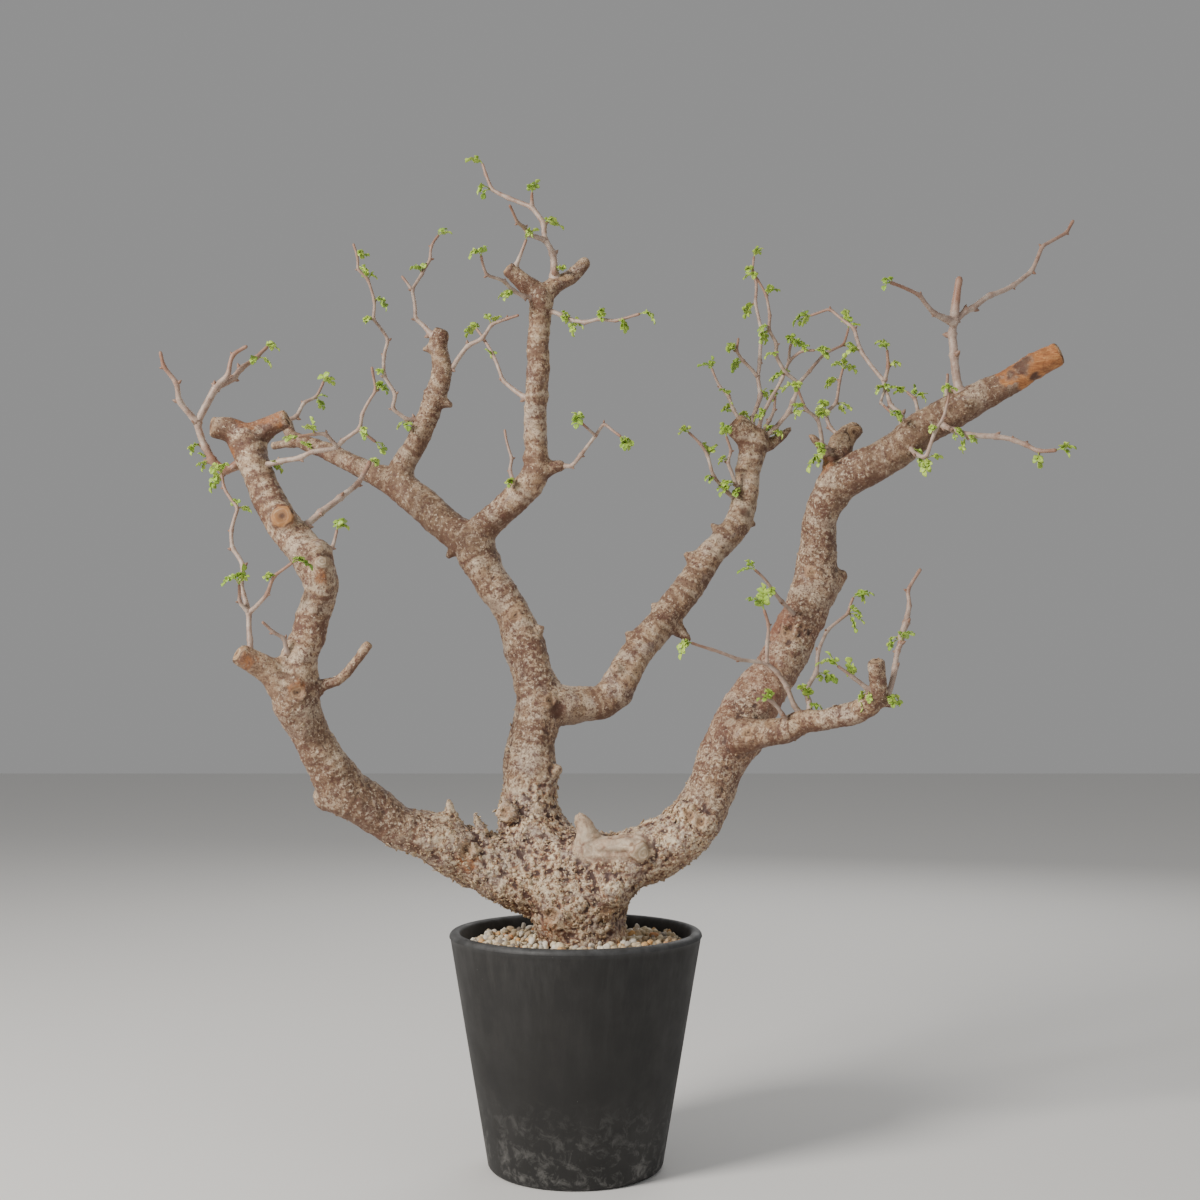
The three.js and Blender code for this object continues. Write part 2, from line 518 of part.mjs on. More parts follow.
/** One zigzag run of a shoot, with a ring at each kink and a blunt bud at its end. */
function runGeometry(points, startRadius, endRadius) {
  const rings = [];
  const tangents = points.map((point, i) => {
    const before = points[Math.max(0, i - 1)];
    const after = points[Math.min(points.length - 1, i + 1)];
    return after.clone().sub(before).normalize();
  });
  let frame = firstFrame(tangents[0]);
  points.forEach((point, i) => {
    frame = carryFrame(frame, tangents[i]);
    const share = i / (points.length - 1);
    const radius = THREE.MathUtils.lerp(startRadius, endRadius, share);
    rings.push(ringAt(point, frame, () => radius, SHOOT_SIDES));
  });
  const last = points.length - 1;
  const bud = points[last].clone().addScaledVector(tangents[last], 1.2 * endRadius);
  return loft(rings, points[0].clone().addScaledVector(tangents[0], -0.2 * startRadius), bud);
}

/** A shoot's runs as lists of points; the main one starts inside the limb that bears it. */
function shootRuns({ main, sides = [] }) {
  const [first, ...rest] = main.map((point) => new THREE.Vector3(...point));
  const { centre, radius } = nearestOnLimbs(first);
  const outward = first.clone().sub(centre).normalize();
  const root = centre.clone().addScaledVector(outward, 0.45 * radius);
  return [[root, ...rest], ...sides.map((run) => run.map((point) => new THREE.Vector3(...point)))];
}

/** A whole shoot as one solid, cut clear of the old wood. */
function shootSolid(shoot, woodWithGap) {
  const { base = SHOOT_BASE_RADIUS, tip = SHOOT_TIP_RADIUS } = shoot;
  const solids = shootRuns(shoot).map((points, run) => {
    const start = run === 0 ? base : Math.max(tip, 0.72 * base);
    const end = run === 0 ? tip : Math.min(tip, 1.6);
    return toSolid(runGeometry(points, start, end));
  });
  return join(solids).subtract(woodWithGap);
}

// ---------------------------------------------------------------- the leaves

/** A thin almond-shaped leaflet from `start` along `direction`, flat across `up`. */
function leafletGeometry(start, direction, up, length) {
  const geometry = new THREE.OctahedronGeometry(0.5);
  geometry.scale(length, LEAF_WIDTH * 2 * length, LEAF_THICKNESS);
  geometry.translate(0.4 * length, 0, 0);
  const across = up.clone().cross(direction).normalize();
  const normal = direction.clone().cross(across);
  const basis = new THREE.Matrix4().makeBasis(direction, across, normal);
  return geometry.applyMatrix4(basis.setPosition(start));
}

/** A young pinnate leaf: a stalk, pairs of leaflets along it and one at its end. */
function leafSolid(base, toward, length) {
  const direction = new THREE.Vector3(...toward).normalize();
  const { normal: side, binormal: up } = firstFrame(direction);
  const tip = base.clone().addScaledVector(direction, 0.7 * length);
  const stalk = toSolid(runGeometry([base, tip], LEAF_STALK_RADIUS, LEAF_STALK_RADIUS));
  const leaflets = [toSolid(leafletGeometry(tip, direction, up, 0.4 * length))];
  for (let pair = 0; pair < LEAF_LEAFLET_PAIRS; pair += 1) {
    const start = base.clone().lerp(tip, 0.4 + 0.4 * pair);
    for (const hand of [-1, 1]) {
      const outward = direction.clone().addScaledVector(side, 1.6 * hand).normalize();
      leaflets.push(toSolid(leafletGeometry(start, outward, up, 0.42 * length)));
    }
  }
  return join([stalk, ...leaflets]);
}

// ---------------------------------------------------------------- pot, soil and gravel

/** The pot's outer radius at a height. */
const potRadius = (z) => BASE_RADIUS + (RIM_RADIUS - BASE_RADIUS) * (z / POT_HEIGHT);

/** The pot's inner radius at a height. */
const potInside = (z) => potRadius(z) - POT_WALL;

/** Points of a quarter turn round (x, z), from one angle to another, in degrees. */
function cornerArc(x, z, radius, fromAngle, toAngle, steps) {
  return Array.from({ length: steps + 1 }, (_, i) => {
    const angle = THREE.MathUtils.degToRad(THREE.MathUtils.lerp(fromAngle, toAngle, i / steps));
    return new THREE.Vector2(x + radius * Math.cos(angle), z + radius * Math.sin(angle));
  });
}

/** A lathe about the Z axis: three.js turns profiles about Y. */
function lathe(profile, segments) {
  return new THREE.LatheGeometry(profile, segments).rotateX(Math.PI / 2);
}

function potSolid() {
  const foot = cornerArc(BASE_RADIUS - FOOT_ROUNDING, FOOT_ROUNDING, FOOT_ROUNDING, -90, -10, 3);
  const lipCentre = RIM_RADIUS - LIP_ROUNDING;
  const lipInner = RIM_RADIUS - POT_WALL + LIP_ROUNDING;
  const lipZ = POT_HEIGHT - LIP_ROUNDING;
  const chamferTop = POT_FLOOR + FLOOR_CHAMFER_HEIGHT;
  const profile = [
    new THREE.Vector2(0, 0),
    ...foot,
    ...cornerArc(lipCentre, lipZ, LIP_ROUNDING, 0, 90, 3),
    ...cornerArc(lipInner, lipZ, LIP_ROUNDING, 90, 180, 3),
    new THREE.Vector2(potInside(chamferTop), chamferTop),
    new THREE.Vector2(potInside(POT_FLOOR) - FLOOR_CHAMFER_WIDTH, POT_FLOOR),
    new THREE.Vector2(0, POT_FLOOR),
  ];
  const shell = toSolid(lathe(profile, POT_SEGMENTS));
  const holes = Array.from({ length: DRAIN_HOLE_COUNT }, (_, i) => {
    const angle = (i / DRAIN_HOLE_COUNT) * 2 * Math.PI + Math.PI / 2;
    const hole = new THREE.CylinderGeometry(DRAIN_HOLE_RADIUS, DRAIN_HOLE_RADIUS, 3 * POT_FLOOR, 20);
    hole.rotateX(Math.PI / 2);
    hole.translate(DRAIN_HOLE_CIRCLE * Math.cos(angle), DRAIN_HOLE_CIRCLE * Math.sin(angle), 0);
    return toSolid(hole);
  });
  return shell.subtract(join(holes));
}

function netSolid() {
  const net = new THREE.CylinderGeometry(NET_RADIUS, NET_RADIUS, NET_THICKNESS, 40);
  net.rotateX(Math.PI / 2);
  net.translate(0, 0, POT_FLOOR + GAP + NET_THICKNESS / 2);
  return toSolid(net);
}

function mixSolid(woodWithGap) {
  const bottom = POT_FLOOR + NET_THICKNESS + 2 * GAP;
  const chamferTop = bottom + FLOOR_CHAMFER_HEIGHT;
  const top = GRAVEL_TOP - GRAVEL_DEPTH - GAP;
  const profile = [
    new THREE.Vector2(0, bottom),
    new THREE.Vector2(potInside(bottom) - 1.5 * FLOOR_CHAMFER_WIDTH, bottom),
    new THREE.Vector2(potInside(chamferTop) - 2 * GAP, chamferTop),
    new THREE.Vector2(potInside(top) - 2 * GAP, top),
    new THREE.Vector2(0, top),
  ];
  return toSolid(lathe(profile, POT_SEGMENTS)).subtract(woodWithGap);
}

/** The gravel: a disc whose top is bumpy and rises a little towards the trunk. */
function gravelSolid(woodWithGap) {
  const bottom = GRAVEL_TOP - GRAVEL_DEPTH;
  const edge = potInside(bottom) - 2 * GAP;
  const circle = (radius, heightAt) => Array.from({ length: GRAVEL_SIDES }, (_, side) => {
    const angle = (side / GRAVEL_SIDES) * 2 * Math.PI;
    const x = radius * Math.cos(angle);
    const y = radius * Math.sin(angle);
    return new THREE.Vector3(x, y, heightAt(x, y));
  });
  const top = (x, y) => GRAVEL_TOP
    + GRAVEL_MOUND * (1 - Math.hypot(x, y) / edge)
    + GRAVEL_BUMP * Math.sin(0.31 * x + 1.3) * Math.sin(0.27 * y - 0.4)
    + 0.6 * GRAVEL_BUMP * Math.sin(0.83 * x - 0.71 * y);
  const rings = [circle(edge, () => bottom)];
  for (let ring = 0; ring < GRAVEL_RINGS; ring += 1) {
    rings.push(circle(edge * (1 - ring / GRAVEL_RINGS), top));
  }
  const disc = loft(rings, new THREE.Vector3(0, 0, bottom), new THREE.Vector3(0, 0, top(0, 0)));
  return toSolid(disc).subtract(woodWithGap);
}

// ---------------------------------------------------------------- the object

const plant = new THREE.Group();

function addPiece(name, solid, finish) {
  const mesh = new THREE.Mesh(toGeometry(solid), finish);
  mesh.name = name;
  plant.add(mesh);
}

const wood = treeSolid(0);
const woodWithGap = treeSolid(GAP);

addPiece('pot', potSolid(), MATERIALS.pot);
addPiece('drain_net', netSolid(), MATERIALS.net);
addPiece('potting_mix', mixSolid(woodWithGap), MATERIALS.mix);
addPiece('gravel_top_dressing', gravelSolid(woodWithGap), MATERIALS.gravel);
addPiece('caudex_tree', wood, MATERIALS.bark);

for (const shoot of SHOOTS) {
  addPiece(`shoot_${shoot.name}`, shootSolid(shoot, woodWithGap), MATERIALS.shoot);
}

LEAVES.forEach(({ shoot, run, at, toward, length }, i) => {
  const bearer = SHOOTS.find(({ name }) => name === shoot);
  const { tip = SHOOT_TIP_RADIUS } = bearer;
  const node = shootRuns(bearer)[run][at];
  const direction = new THREE.Vector3(...toward).normalize();
  const base = node.clone().addScaledVector(direction, 2.2 * tip + 2 * GAP);
  const number = String(i + 1).padStart(2, '0');
  addPiece(`leaf_${number}_${shoot}`, leafSolid(base, toward, length), MATERIALS.leaf);
});

export default plant;
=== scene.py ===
"""Looks of the potted caudex plant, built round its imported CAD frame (Blender 4.5, metres)."""

import math
import random

import bmesh
import bpy
import numpy as np
from mathutils import Matrix, Vector, noise
from mathutils.bvhtree import BVHTree


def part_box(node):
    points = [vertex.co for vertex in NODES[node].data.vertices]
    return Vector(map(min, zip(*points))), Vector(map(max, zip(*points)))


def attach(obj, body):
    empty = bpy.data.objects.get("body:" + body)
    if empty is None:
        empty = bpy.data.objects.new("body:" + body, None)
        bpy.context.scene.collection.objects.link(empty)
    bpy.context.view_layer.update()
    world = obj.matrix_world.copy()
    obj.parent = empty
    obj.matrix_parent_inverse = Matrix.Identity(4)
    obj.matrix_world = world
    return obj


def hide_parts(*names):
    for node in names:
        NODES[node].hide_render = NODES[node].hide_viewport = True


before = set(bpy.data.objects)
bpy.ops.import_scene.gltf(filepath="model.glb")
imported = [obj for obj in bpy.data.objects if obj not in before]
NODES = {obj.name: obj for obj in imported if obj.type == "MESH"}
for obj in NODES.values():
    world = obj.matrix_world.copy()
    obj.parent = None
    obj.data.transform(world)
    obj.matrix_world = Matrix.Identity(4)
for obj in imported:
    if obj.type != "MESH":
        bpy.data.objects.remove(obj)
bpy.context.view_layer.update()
MM = 0.001
rng = np.random.default_rng(7)
random.seed(7)


def linked(name, data):
    """A new object in the scene."""
    item = bpy.data.objects.new(name, data)
    bpy.context.scene.collection.objects.link(item)
    return item


def modified_mesh(item):
    """The object's mesh with its modifiers applied."""
    return bpy.data.meshes.new_from_object(item.evaluated_get(bpy.context.evaluated_depsgraph_get()))


# ------------------------------------------------------------------ camera, floor and lights

CAMERA_PLACE = (0.023, -1.515, 0.448)
CAMERA_TILT_UP = 3.28
CAMERA_LENS = 47.2
SENSOR_WIDTH = 36.0
FLOOR_SIZE = 14.0


def make_camera():
    camera = linked("camera", bpy.data.cameras.new("camera"))
    camera.data.lens = CAMERA_LENS
    camera.data.sensor_width = SENSOR_WIDTH
    camera.location = CAMERA_PLACE
    camera.rotation_euler = (math.radians(90.0 + CAMERA_TILT_UP), 0.0, 0.0)
    bpy.context.scene.camera = camera


def make_floor():
    """A wide, flat, pale floor."""
    mesh = bpy.data.meshes.new("floor")
    half = FLOOR_SIZE / 2
    corners = [(-half, -half, 0), (half, -half, 0), (half, half, 0), (-half, half, 0)]
    mesh.from_pydata(corners, [], [(0, 1, 2, 3)])
    floor = linked("floor", mesh)
    material, nodes, _ = new_material("studio_floor")
    shader = nodes["Principled BSDF"]
    shader.inputs["Base Color"].default_value = (0.80, 0.79, 0.77, 1)
    shader.inputs["Roughness"].default_value = 0.85
    mesh.materials.append(material)


def add_area_light(name, place, target, size, power, colour):
    light = bpy.data.lights.new(name, "AREA")
    light.shape = "DISK"
    light.size = size
    light.energy = power
    light.color = colour
    holder = linked(name, light)
    holder.location = place
    holder.rotation_euler = (Vector(target) - Vector(place)).to_track_quat("-Z", "Y").to_euler()


def make_lights():
    crown = (0.0, 0.0, 0.5)
    add_area_light("key", (-1.9, -1.5, 1.7), crown, 0.9, 98, (1.0, 0.965, 0.915))
    add_area_light("fill", (1.9, -1.4, 0.9), crown, 1.8, 7, (0.95, 0.97, 1.0))
    add_area_light("back", (0.6, 1.9, 1.6), crown, 1.6, 14, (1.0, 0.99, 0.97))
    world = bpy.data.worlds.new("studio")
    world.use_nodes = True
    world.node_tree.nodes["Background"].inputs["Color"].default_value = (0.88, 0.88, 0.88, 1)
    world.node_tree.nodes["Background"].inputs["Strength"].default_value = 0.34
    bpy.context.scene.world = world


# ------------------------------------------------------------------ node materials

def new_material(name):
    material = bpy.data.materials.new(name)
    material.use_nodes = True
    tree = material.node_tree
    return material, tree.nodes, tree.links


class Graph:
    """Short calls for the shader nodes that the materials share."""

    def __init__(self, name):
        self.material, self.nodes, self.links = new_material(name)
        self.shader = self.nodes["Principled BSDF"]
        self.position = self.nodes.new("ShaderNodeTexCoord").outputs["Object"]

    def plug(self, socket, value):
        if isinstance(value, bpy.types.NodeSocket):
            self.links.new(value, socket)
        elif value is not None:
            socket.default_value = value

    def noise(self, scale, detail=4.0, roughness=0.6, distortion=0.0, vector=None):
        node = self.nodes.new("ShaderNodeTexNoise")
        self.plug(node.inputs["Vector"], self.position if vector is None else vector)
        node.inputs["Scale"].default_value = scale
        node.inputs["Detail"].default_value = detail
        node.inputs["Roughness"].default_value = roughness
        node.inputs["Distortion"].default_value = distortion
        return node.outputs["Fac"]

    def cells(self, scale, output="Distance"):
        node = self.nodes.new("ShaderNodeTexVoronoi")
        self.plug(node.inputs["Vector"], self.position)
        node.inputs["Scale"].default_value = scale
        return node.outputs[output]

    def axis(self, name):
        """One coordinate of the surface, in metres."""
        node = self.nodes.new("ShaderNodeSeparateXYZ")
        self.links.new(self.position, node.inputs["Vector"])
        return node.outputs[name]

    def waves(self, axis, scale):
        node = self.nodes.new("ShaderNodeTexWave")
        node.bands_direction = axis
        self.links.new(self.position, node.inputs["Vector"])
        node.inputs["Scale"].default_value = scale
        return node.outputs["Fac"]

    def ramp(self, value, *stops, interpolation="LINEAR"):
        """A colour ramp: stops are (place, colour), a colour being a grey number or r, g, b."""
        node = self.nodes.new("ShaderNodeValToRGB")
        node.color_ramp.interpolation = interpolation
        self.links.new(value, node.inputs["Fac"])
        elements = node.color_ramp.elements
        while len(elements) < len(stops):
            elements.new(0.5)
        for element, (place, colour) in zip(elements, stops):
            element.position = place
            rgb = (colour,) * 3 if isinstance(colour, (int, float)) else colour
            element.color = (*rgb, 1)
        return node.outputs["Color"]

    def mix(self, factor, first, second):
        node = self.nodes.new("ShaderNodeMix")
        node.data_type = "RGBA"
        self.plug(node.inputs["Factor"], factor)
        for socket, value in ((node.inputs["A"], first), (node.inputs["B"], second)):
            self.plug(socket, (*value, 1) if isinstance(value, tuple) else value)
        return node.outputs["Result"]

    def cover(self, under, over, value, *stops):
        """One colour over another, as thickly as a ramp of the value says."""
        return self.mix(self.ramp(value, *stops), under, over)

    def math(self, operation, first, second=None):
        node = self.nodes.new("ShaderNodeMath")
        node.operation = operation
        self.plug(node.inputs[0], first)
        self.plug(node.inputs[1], second)
        return node.outputs[0]

    def add(self, first, second):
        return self.math("ADD", first, second)

    def times(self, first, second):
        return self.math("MULTIPLY", first, second)

    def attribute(self, name):
        node = self.nodes.new("ShaderNodeAttribute")
        node.attribute_name = name
        return node.outputs["Fac"]

    def stretched(self, scale):
        node = self.nodes.new("ShaderNodeMapping")
        self.links.new(self.position, node.inputs["Vector"])
        node.inputs["Scale"].default_value = scale
        return node.outputs["Vector"]

    def bump(self, height, strength, distance, normal=None):
        node = self.nodes.new("ShaderNodeBump")
        node.inputs["Strength"].default_value = strength
        node.inputs["Distance"].default_value = distance
        self.links.new(height, node.inputs["Height"])
        if normal is not None:
            self.links.new(normal, node.inputs["Normal"])
        return node.outputs["Normal"]

    def finish(self, colour, roughness, normal=None):
        self.plug(self.shader.inputs["Base Color"], colour)
        self.plug(self.shader.inputs["Roughness"], roughness)
        if normal is not None:
            self.links.new(normal, self.shader.inputs["Normal"])
        return self.material


# ------------------------------------------------------------------ mesh helpers

def mesh_piece(name, points, faces):
    """A piece riding on the root, from (n, 3) points and an (m, k) array of faces."""
    points = np.asarray(points, dtype=np.float32)
    faces = np.asarray(faces, dtype=np.int32)
    count, corners = faces.shape
    mesh = bpy.data.meshes.new(name)
    mesh.vertices.add(len(points))
    mesh.vertices.foreach_set("co", points.ravel())
    mesh.loops.add(count * corners)
    mesh.loops.foreach_set("vertex_index", faces.ravel())
    mesh.polygons.add(count)
    mesh.polygons.foreach_set("loop_start", np.arange(0, count * corners, corners, dtype=np.int32))
    mesh.polygons.foreach_set("use_smooth", np.full(count, True))
    mesh.update(calc_edges=True)
    piece = linked(name, mesh)
    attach(piece, "root")
    return piece


def dress(piece, material, slot, *replaced):
    """The piece's material, and the CAD nodes that it stands for; the slot is not used."""
    piece.data.materials.clear()
    piece.data.materials.append(material)
    if replaced:
        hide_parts(*replaced)


def write_floats(piece, name, values):
    layer = piece.data.attributes.new(name, "FLOAT", "POINT")
    layer.data.foreach_set("value", np.asarray(values, dtype=np.float32))


def mesh_arrays(mesh):
    """Points, edges and unit normals of a Blender mesh."""
    points = np.empty(len(mesh.vertices) * 3, dtype=np.float32)
    mesh.vertices.foreach_get("co", points)
    edges = np.empty(len(mesh.edges) * 2, dtype=np.int32)
    mesh.edges.foreach_get("vertices", edges)
    normals = np.empty(len(mesh.vertices) * 3, dtype=np.float32)
    mesh.vertex_normals.foreach_get("vector", normals)
    return points.reshape(-1, 3).astype(float), edges.reshape(-1, 2), normals.reshape(-1, 3).astype(float)


def ring_quads(rows, around):
    """Quads between neighbouring rings of points, each ring having the same number."""
    i, j = np.meshgrid(np.arange(rows - 1), np.arange(around), indexing="ij")
    k = (j + 1) % around
    corners = [i * around + j, i * around + k, (i + 1) * around + k, (i + 1) * around + j]
    return np.stack(corners, axis=-1).reshape(-1, 4)


def merged_node(name):
    """Points, faces and edges of a CAD node, with its shared corners merged."""
    cad = bmesh.new()
    cad.from_mesh(NODES[name].data)
    bmesh.ops.remove_doubles(cad, verts=cad.verts, dist=1e-5)
    points = np.array([v.co[:] for v in cad.verts])
    faces = [[v.index for v in f.verts] for f in cad.faces]
    edges = np.array([[v.index for v in e.verts] for e in cad.edges])
    cad.free()
    return points, faces, edges


def unit(vectors):
    vectors = np.asarray(vectors, dtype=float)
    return vectors / np.maximum(np.linalg.norm(vectors, axis=-1, keepdims=True), 1e-12)


def step(low, high, values):
    """A smooth rise from 0 at low to 1 at high."""
    t = np.clip((values - low) / (high - low), 0, 1)
    return t * t * (3 - 2 * t)


def field(points, size, shift=0.0):
    """Smooth noise from about -1 to 1 whose lumps are size metres across."""
    scaled = points / size + shift
    return np.array([noise.noise(p) for p in scaled.tolist()]) * 1.6


def ridges(points, size, shift=0.0):
    """Noise from 0 to 1 with sharp crests, size metres apart."""
    return 1 - np.minimum(np.abs(field(points, size, shift)) * 1.6, 1)


# ------------------------------------------------------------------ the pot

POT_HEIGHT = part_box("pot")[1][2]
RIM_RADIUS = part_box("pot")[1][0]
FOOT_RADIUS = 82 * MM
WALL = 10.5 * MM
FLOOR_TOP = 9 * MM
LIP = 4.8 * MM
FOOT_ROUNDING = 6 * MM
POT_STEPS = 192
DRAIN_HOLES = 3
DRAIN_HOLE_RADIUS = 12.5 * MM
DRAIN_CIRCLE = 42 * MM


def arc(centre, radius, start, end, count):
    """Points of an arc in the (radius, height) plane, angles in degrees."""
    angles = np.radians(np.linspace(start, end, count))
    return [(centre[0] + radius * math.cos(a), centre[1] + radius * math.sin(a)) for a in angles]


def pot_profile():
    """The pot's section, from the middle of its underside up the outside, over and down inside."""
    taper = (RIM_RADIUS - FOOT_RADIUS) / POT_HEIGHT
    tilt = math.degrees(math.atan(taper))

    def outside(z):
        return FOOT_RADIUS + taper * z

    profile = [(r, 0) for r in (0.0005, 0.02, 0.032, 0.056, 0.07)]
    profile += arc((outside(FOOT_ROUNDING) - FOOT_ROUNDING, FOOT_ROUNDING), FOOT_ROUNDING, -90, -tilt, 8)
    profile += [(outside(z), z) for z in np.linspace(0.010, POT_HEIGHT - LIP * 1.3, 46)]
    lip_centre = (RIM_RADIUS - LIP, POT_HEIGHT - LIP)
    profile += arc(lip_centre, LIP, 0, 90, 7)
    inner_centre = (RIM_RADIUS - WALL + LIP * 0.8, POT_HEIGHT - LIP * 0.8)
    profile += arc(inner_centre, LIP * 0.8, 90, 180, 6)
    profile += [(outside(z) - WALL, z) for z in np.linspace(POT_HEIGHT - 0.010, FLOOR_TOP + 0.006, 18)]
    inner_foot = outside(FLOOR_TOP) - WALL
    profile += [(inner_foot - 0.002, FLOOR_TOP + 0.001), (inner_foot - 0.006, FLOOR_TOP)]
    profile += [(r, FLOOR_TOP) for r in (0.056, 0.032, 0.02, 0.0005)]
    return np.array(profile)


def make_pot(material):
    profile = pot_profile()
    angles = np.linspace(0, 2 * math.pi, POT_STEPS, endpoint=False)
    radius, height = profile[:, 0][:, None], profile[:, 1][:, None]
    # A moulded pot is never quite round, and its wall waves by fractions of a millimetre.
    waver = 1 + 0.0016 * np.sin(2 * angles + 0.7) + 0.0008 * np.sin(5 * angles + height * 30)
    points = np.stack([radius * waver * np.cos(angles), radius * waver * np.sin(angles),
                       height + 0 * angles], axis=-1).reshape(-1, 3)
    shell = bmesh.new()
    corners = [shell.verts.new(p) for p in points]
    for quad in ring_quads(len(profile), POT_STEPS):
        shell.faces.new([corners[c] for c in quad])
    shell.faces.new(corners[:POT_STEPS][::-1])
    shell.faces.new(corners[-POT_STEPS:])
    shell.normal_update()
    mesh = bpy.data.meshes.new("pot_shell")
    shell.to_mesh(mesh)
    shell.free()
    pot = linked("pot_shell", mesh)
    bore_drain_holes(pot)
    pot.data.polygons.foreach_set("use_smooth", np.full(len(pot.data.polygons), True))
    pot.data.set_sharp_from_angle(angle=math.radians(35))
    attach(pot, "root")
    dress(pot, material, "pot_plastic", "pot")


def bore_drain_holes(pot):
    """Cuts the drain holes through the pot's floor."""
    drills = bmesh.new()
    for hole in range(DRAIN_HOLES):
        turn = math.radians(90 + 360 / DRAIN_HOLES * hole)
        place = Matrix.Translation((DRAIN_CIRCLE * math.cos(turn), DRAIN_CIRCLE * math.sin(turn), 0.004))
        bmesh.ops.create_cone(drills, cap_ends=True, segments=40, radius1=DRAIN_HOLE_RADIUS,
                              radius2=DRAIN_HOLE_RADIUS, depth=0.03, matrix=place)
    drill_mesh = bpy.data.meshes.new("drills")
    drills.to_mesh(drill_mesh)
    drills.free()
    drill = linked("drills", drill_mesh)
    cut = pot.modifiers.new("drain holes", "BOOLEAN")
    cut.object = drill
    cut.operation = "DIFFERENCE"
    cut.solver = "EXACT"
    bored = modified_mesh(pot)
    pot.modifiers.clear()
    pot.data = bored
    bpy.data.objects.remove(drill)


def pot_material():
    g = Graph("charcoal_pot")
    streaks = g.noise(1.0, 5, 0.62, 0.4, g.stretched((42, 42, 5)))
    mottle = g.noise(26, 6, 0.6)
    broad = g.noise(7, 2, 0.5)
    tone = g.ramp(g.add(g.times(streaks, 0.6), g.times(mottle, 0.4)),
                  (0.30, (0.0050, 0.0045, 0.0040)), (0.52, (0.0095, 0.0087, 0.0080)),
                  (0.72, (0.019, 0.0175, 0.0165)))
    tone = g.mix(g.times(broad, 0.35), tone, (0.020, 0.0185, 0.0175))
    height = g.axis("Z")
    # Scuffs at the foot, a few nicks, and a paler lip that is a painted highlight, mottled by noise.
    foot = g.times(g.ramp(height, (0.0, 1.0), (0.030, 0.55), (0.085, 0.0)),
                  g.ramp(g.noise(75, 8, 0.72, 0.6), (0.50, 0.0), (0.66, 1.0)))
    tone = g.mix(g.times(foot, 0.75), tone, (0.17, 0.165, 0.155))
    specks = g.ramp(g.cells(120), (0.0, 1.0), (0.055, 0.0))
    rare = g.ramp(g.noise(19, 2, 0.5), (0.56, 0.0), (0.64, 1.0))
    tone = g.mix(g.times(g.times(specks, rare), 0.8), tone, (0.30, 0.29, 0.27))
    # Painted highlight: the rounded lip is made paler all round, broken up by noise.
    lip_highlight_band = g.ramp(height, (0.2135, 0.0), (0.2175, 1.0))
    worn = g.times(lip_highlight_band, g.ramp(g.noise(60, 6, 0.7), (0.32, 0.15), (0.66, 1.0)))
    tone = g.mix(g.times(worn, 0.75), tone, (0.105, 0.108, 0.112))
    dust = g.times(g.ramp(height, (0.10, 0.0), (0.22, 1.0)),
                  g.ramp(g.noise(1, 6, 0.7, 0.2, g.stretched((90, 90, 14))), (0.45, 0.0), (0.75, 0.5)))
    tone = g.mix(g.times(dust, 0.35), tone, (0.12, 0.115, 0.11))
    rough = g.ramp(g.noise(34, 5, 0.6), (0.3, 0.54), (0.7, 0.70))
    grain = g.bump(g.noise(900, 3, 0.6), 0.10, 0.0004)
    normal = g.bump(streaks, 0.10, 0.0015, grain)
    return g.finish(tone, rough, normal)


def net_material():
    g = Graph("woven_net")
    weave = g.math("MAXIMUM", g.waves("X", 1200), g.waves("Y", 1200))
    tone = g.mix(g.noise(60, 4), (0.010, 0.020, 0.012), (0.030, 0.045, 0.028))
    tone = g.mix(g.ramp(weave, (0.45, 0.0), (0.6, 1.0)), (0.004, 0.004, 0.004), tone)
    return g.finish(tone, 0.55, g.bump(weave, 0.8, 0.0005))


def soil_material():
    g = Graph("gritty_soil")
    crumbs = g.cells(420)
    grain = g.noise(150, 8, 0.7)
    tone = g.ramp(grain, (0.3, (0.018, 0.011, 0.007)), (0.5, (0.055, 0.035, 0.022)),
                  (0.7, (0.12, 0.085, 0.055)))
    pale = g.ramp(g.cells(260, output="Color"), (0.80, 0.0), (0.88, 1.0))
    tone = g.mix(g.times(pale, 0.5), tone, (0.30, 0.26, 0.20))
    return g.finish(tone, 0.95, g.bump(g.add(crumbs, grain), 0.9, 0.002))


# ------------------------------------------------------------------ the gravel

GRAVEL_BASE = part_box("gravel_top_dressing")[0][2]
GRAVEL_INNER = 38 * MM
GRAVEL_OUTER = 107.5 * MM
BED_TOP = 206.8 * MM
TRUNK_CENTRE = (8 * MM, 0.0)
STONE_LAYERS = ((5.6 * MM, 0.0), (7.0 * MM, 3.4 * MM))
STONE_SIZES = (2.7 * MM, 5.0 * MM)


def scattered(spacing, reach, seed):
    """Points in a disc that keep spacing apart, by throwing darts on a grid."""
    picker = random.Random(seed)
    cells = {}
    for dart in range(int(9 * (reach / spacing) ** 2)):
        turn = picker.uniform(0, 2 * math.pi)
        out = reach * math.sqrt(picker.random())
        x, y = out * math.cos(turn), out * math.sin(turn)
        a, b = int(x // spacing), int(y // spacing)
        near = [cells.get((a + i, b + j)) for i in (-1, 0, 1) for j in (-1, 0, 1)]
        if all(p is None or math.dist(p, (x, y)) >= spacing for p in near):
            cells[(a, b)] = (x, y)
    return list(cells.values())


def stone_shape():
    ball = bmesh.new()
    bmesh.ops.create_icosphere(ball, subdivisions=2, radius=1)
    points = np.array([v.co[:] for v in ball.verts])
    faces = np.array([[v.index for v in f.verts] for f in ball.faces])
    ball.free()
    return points, faces


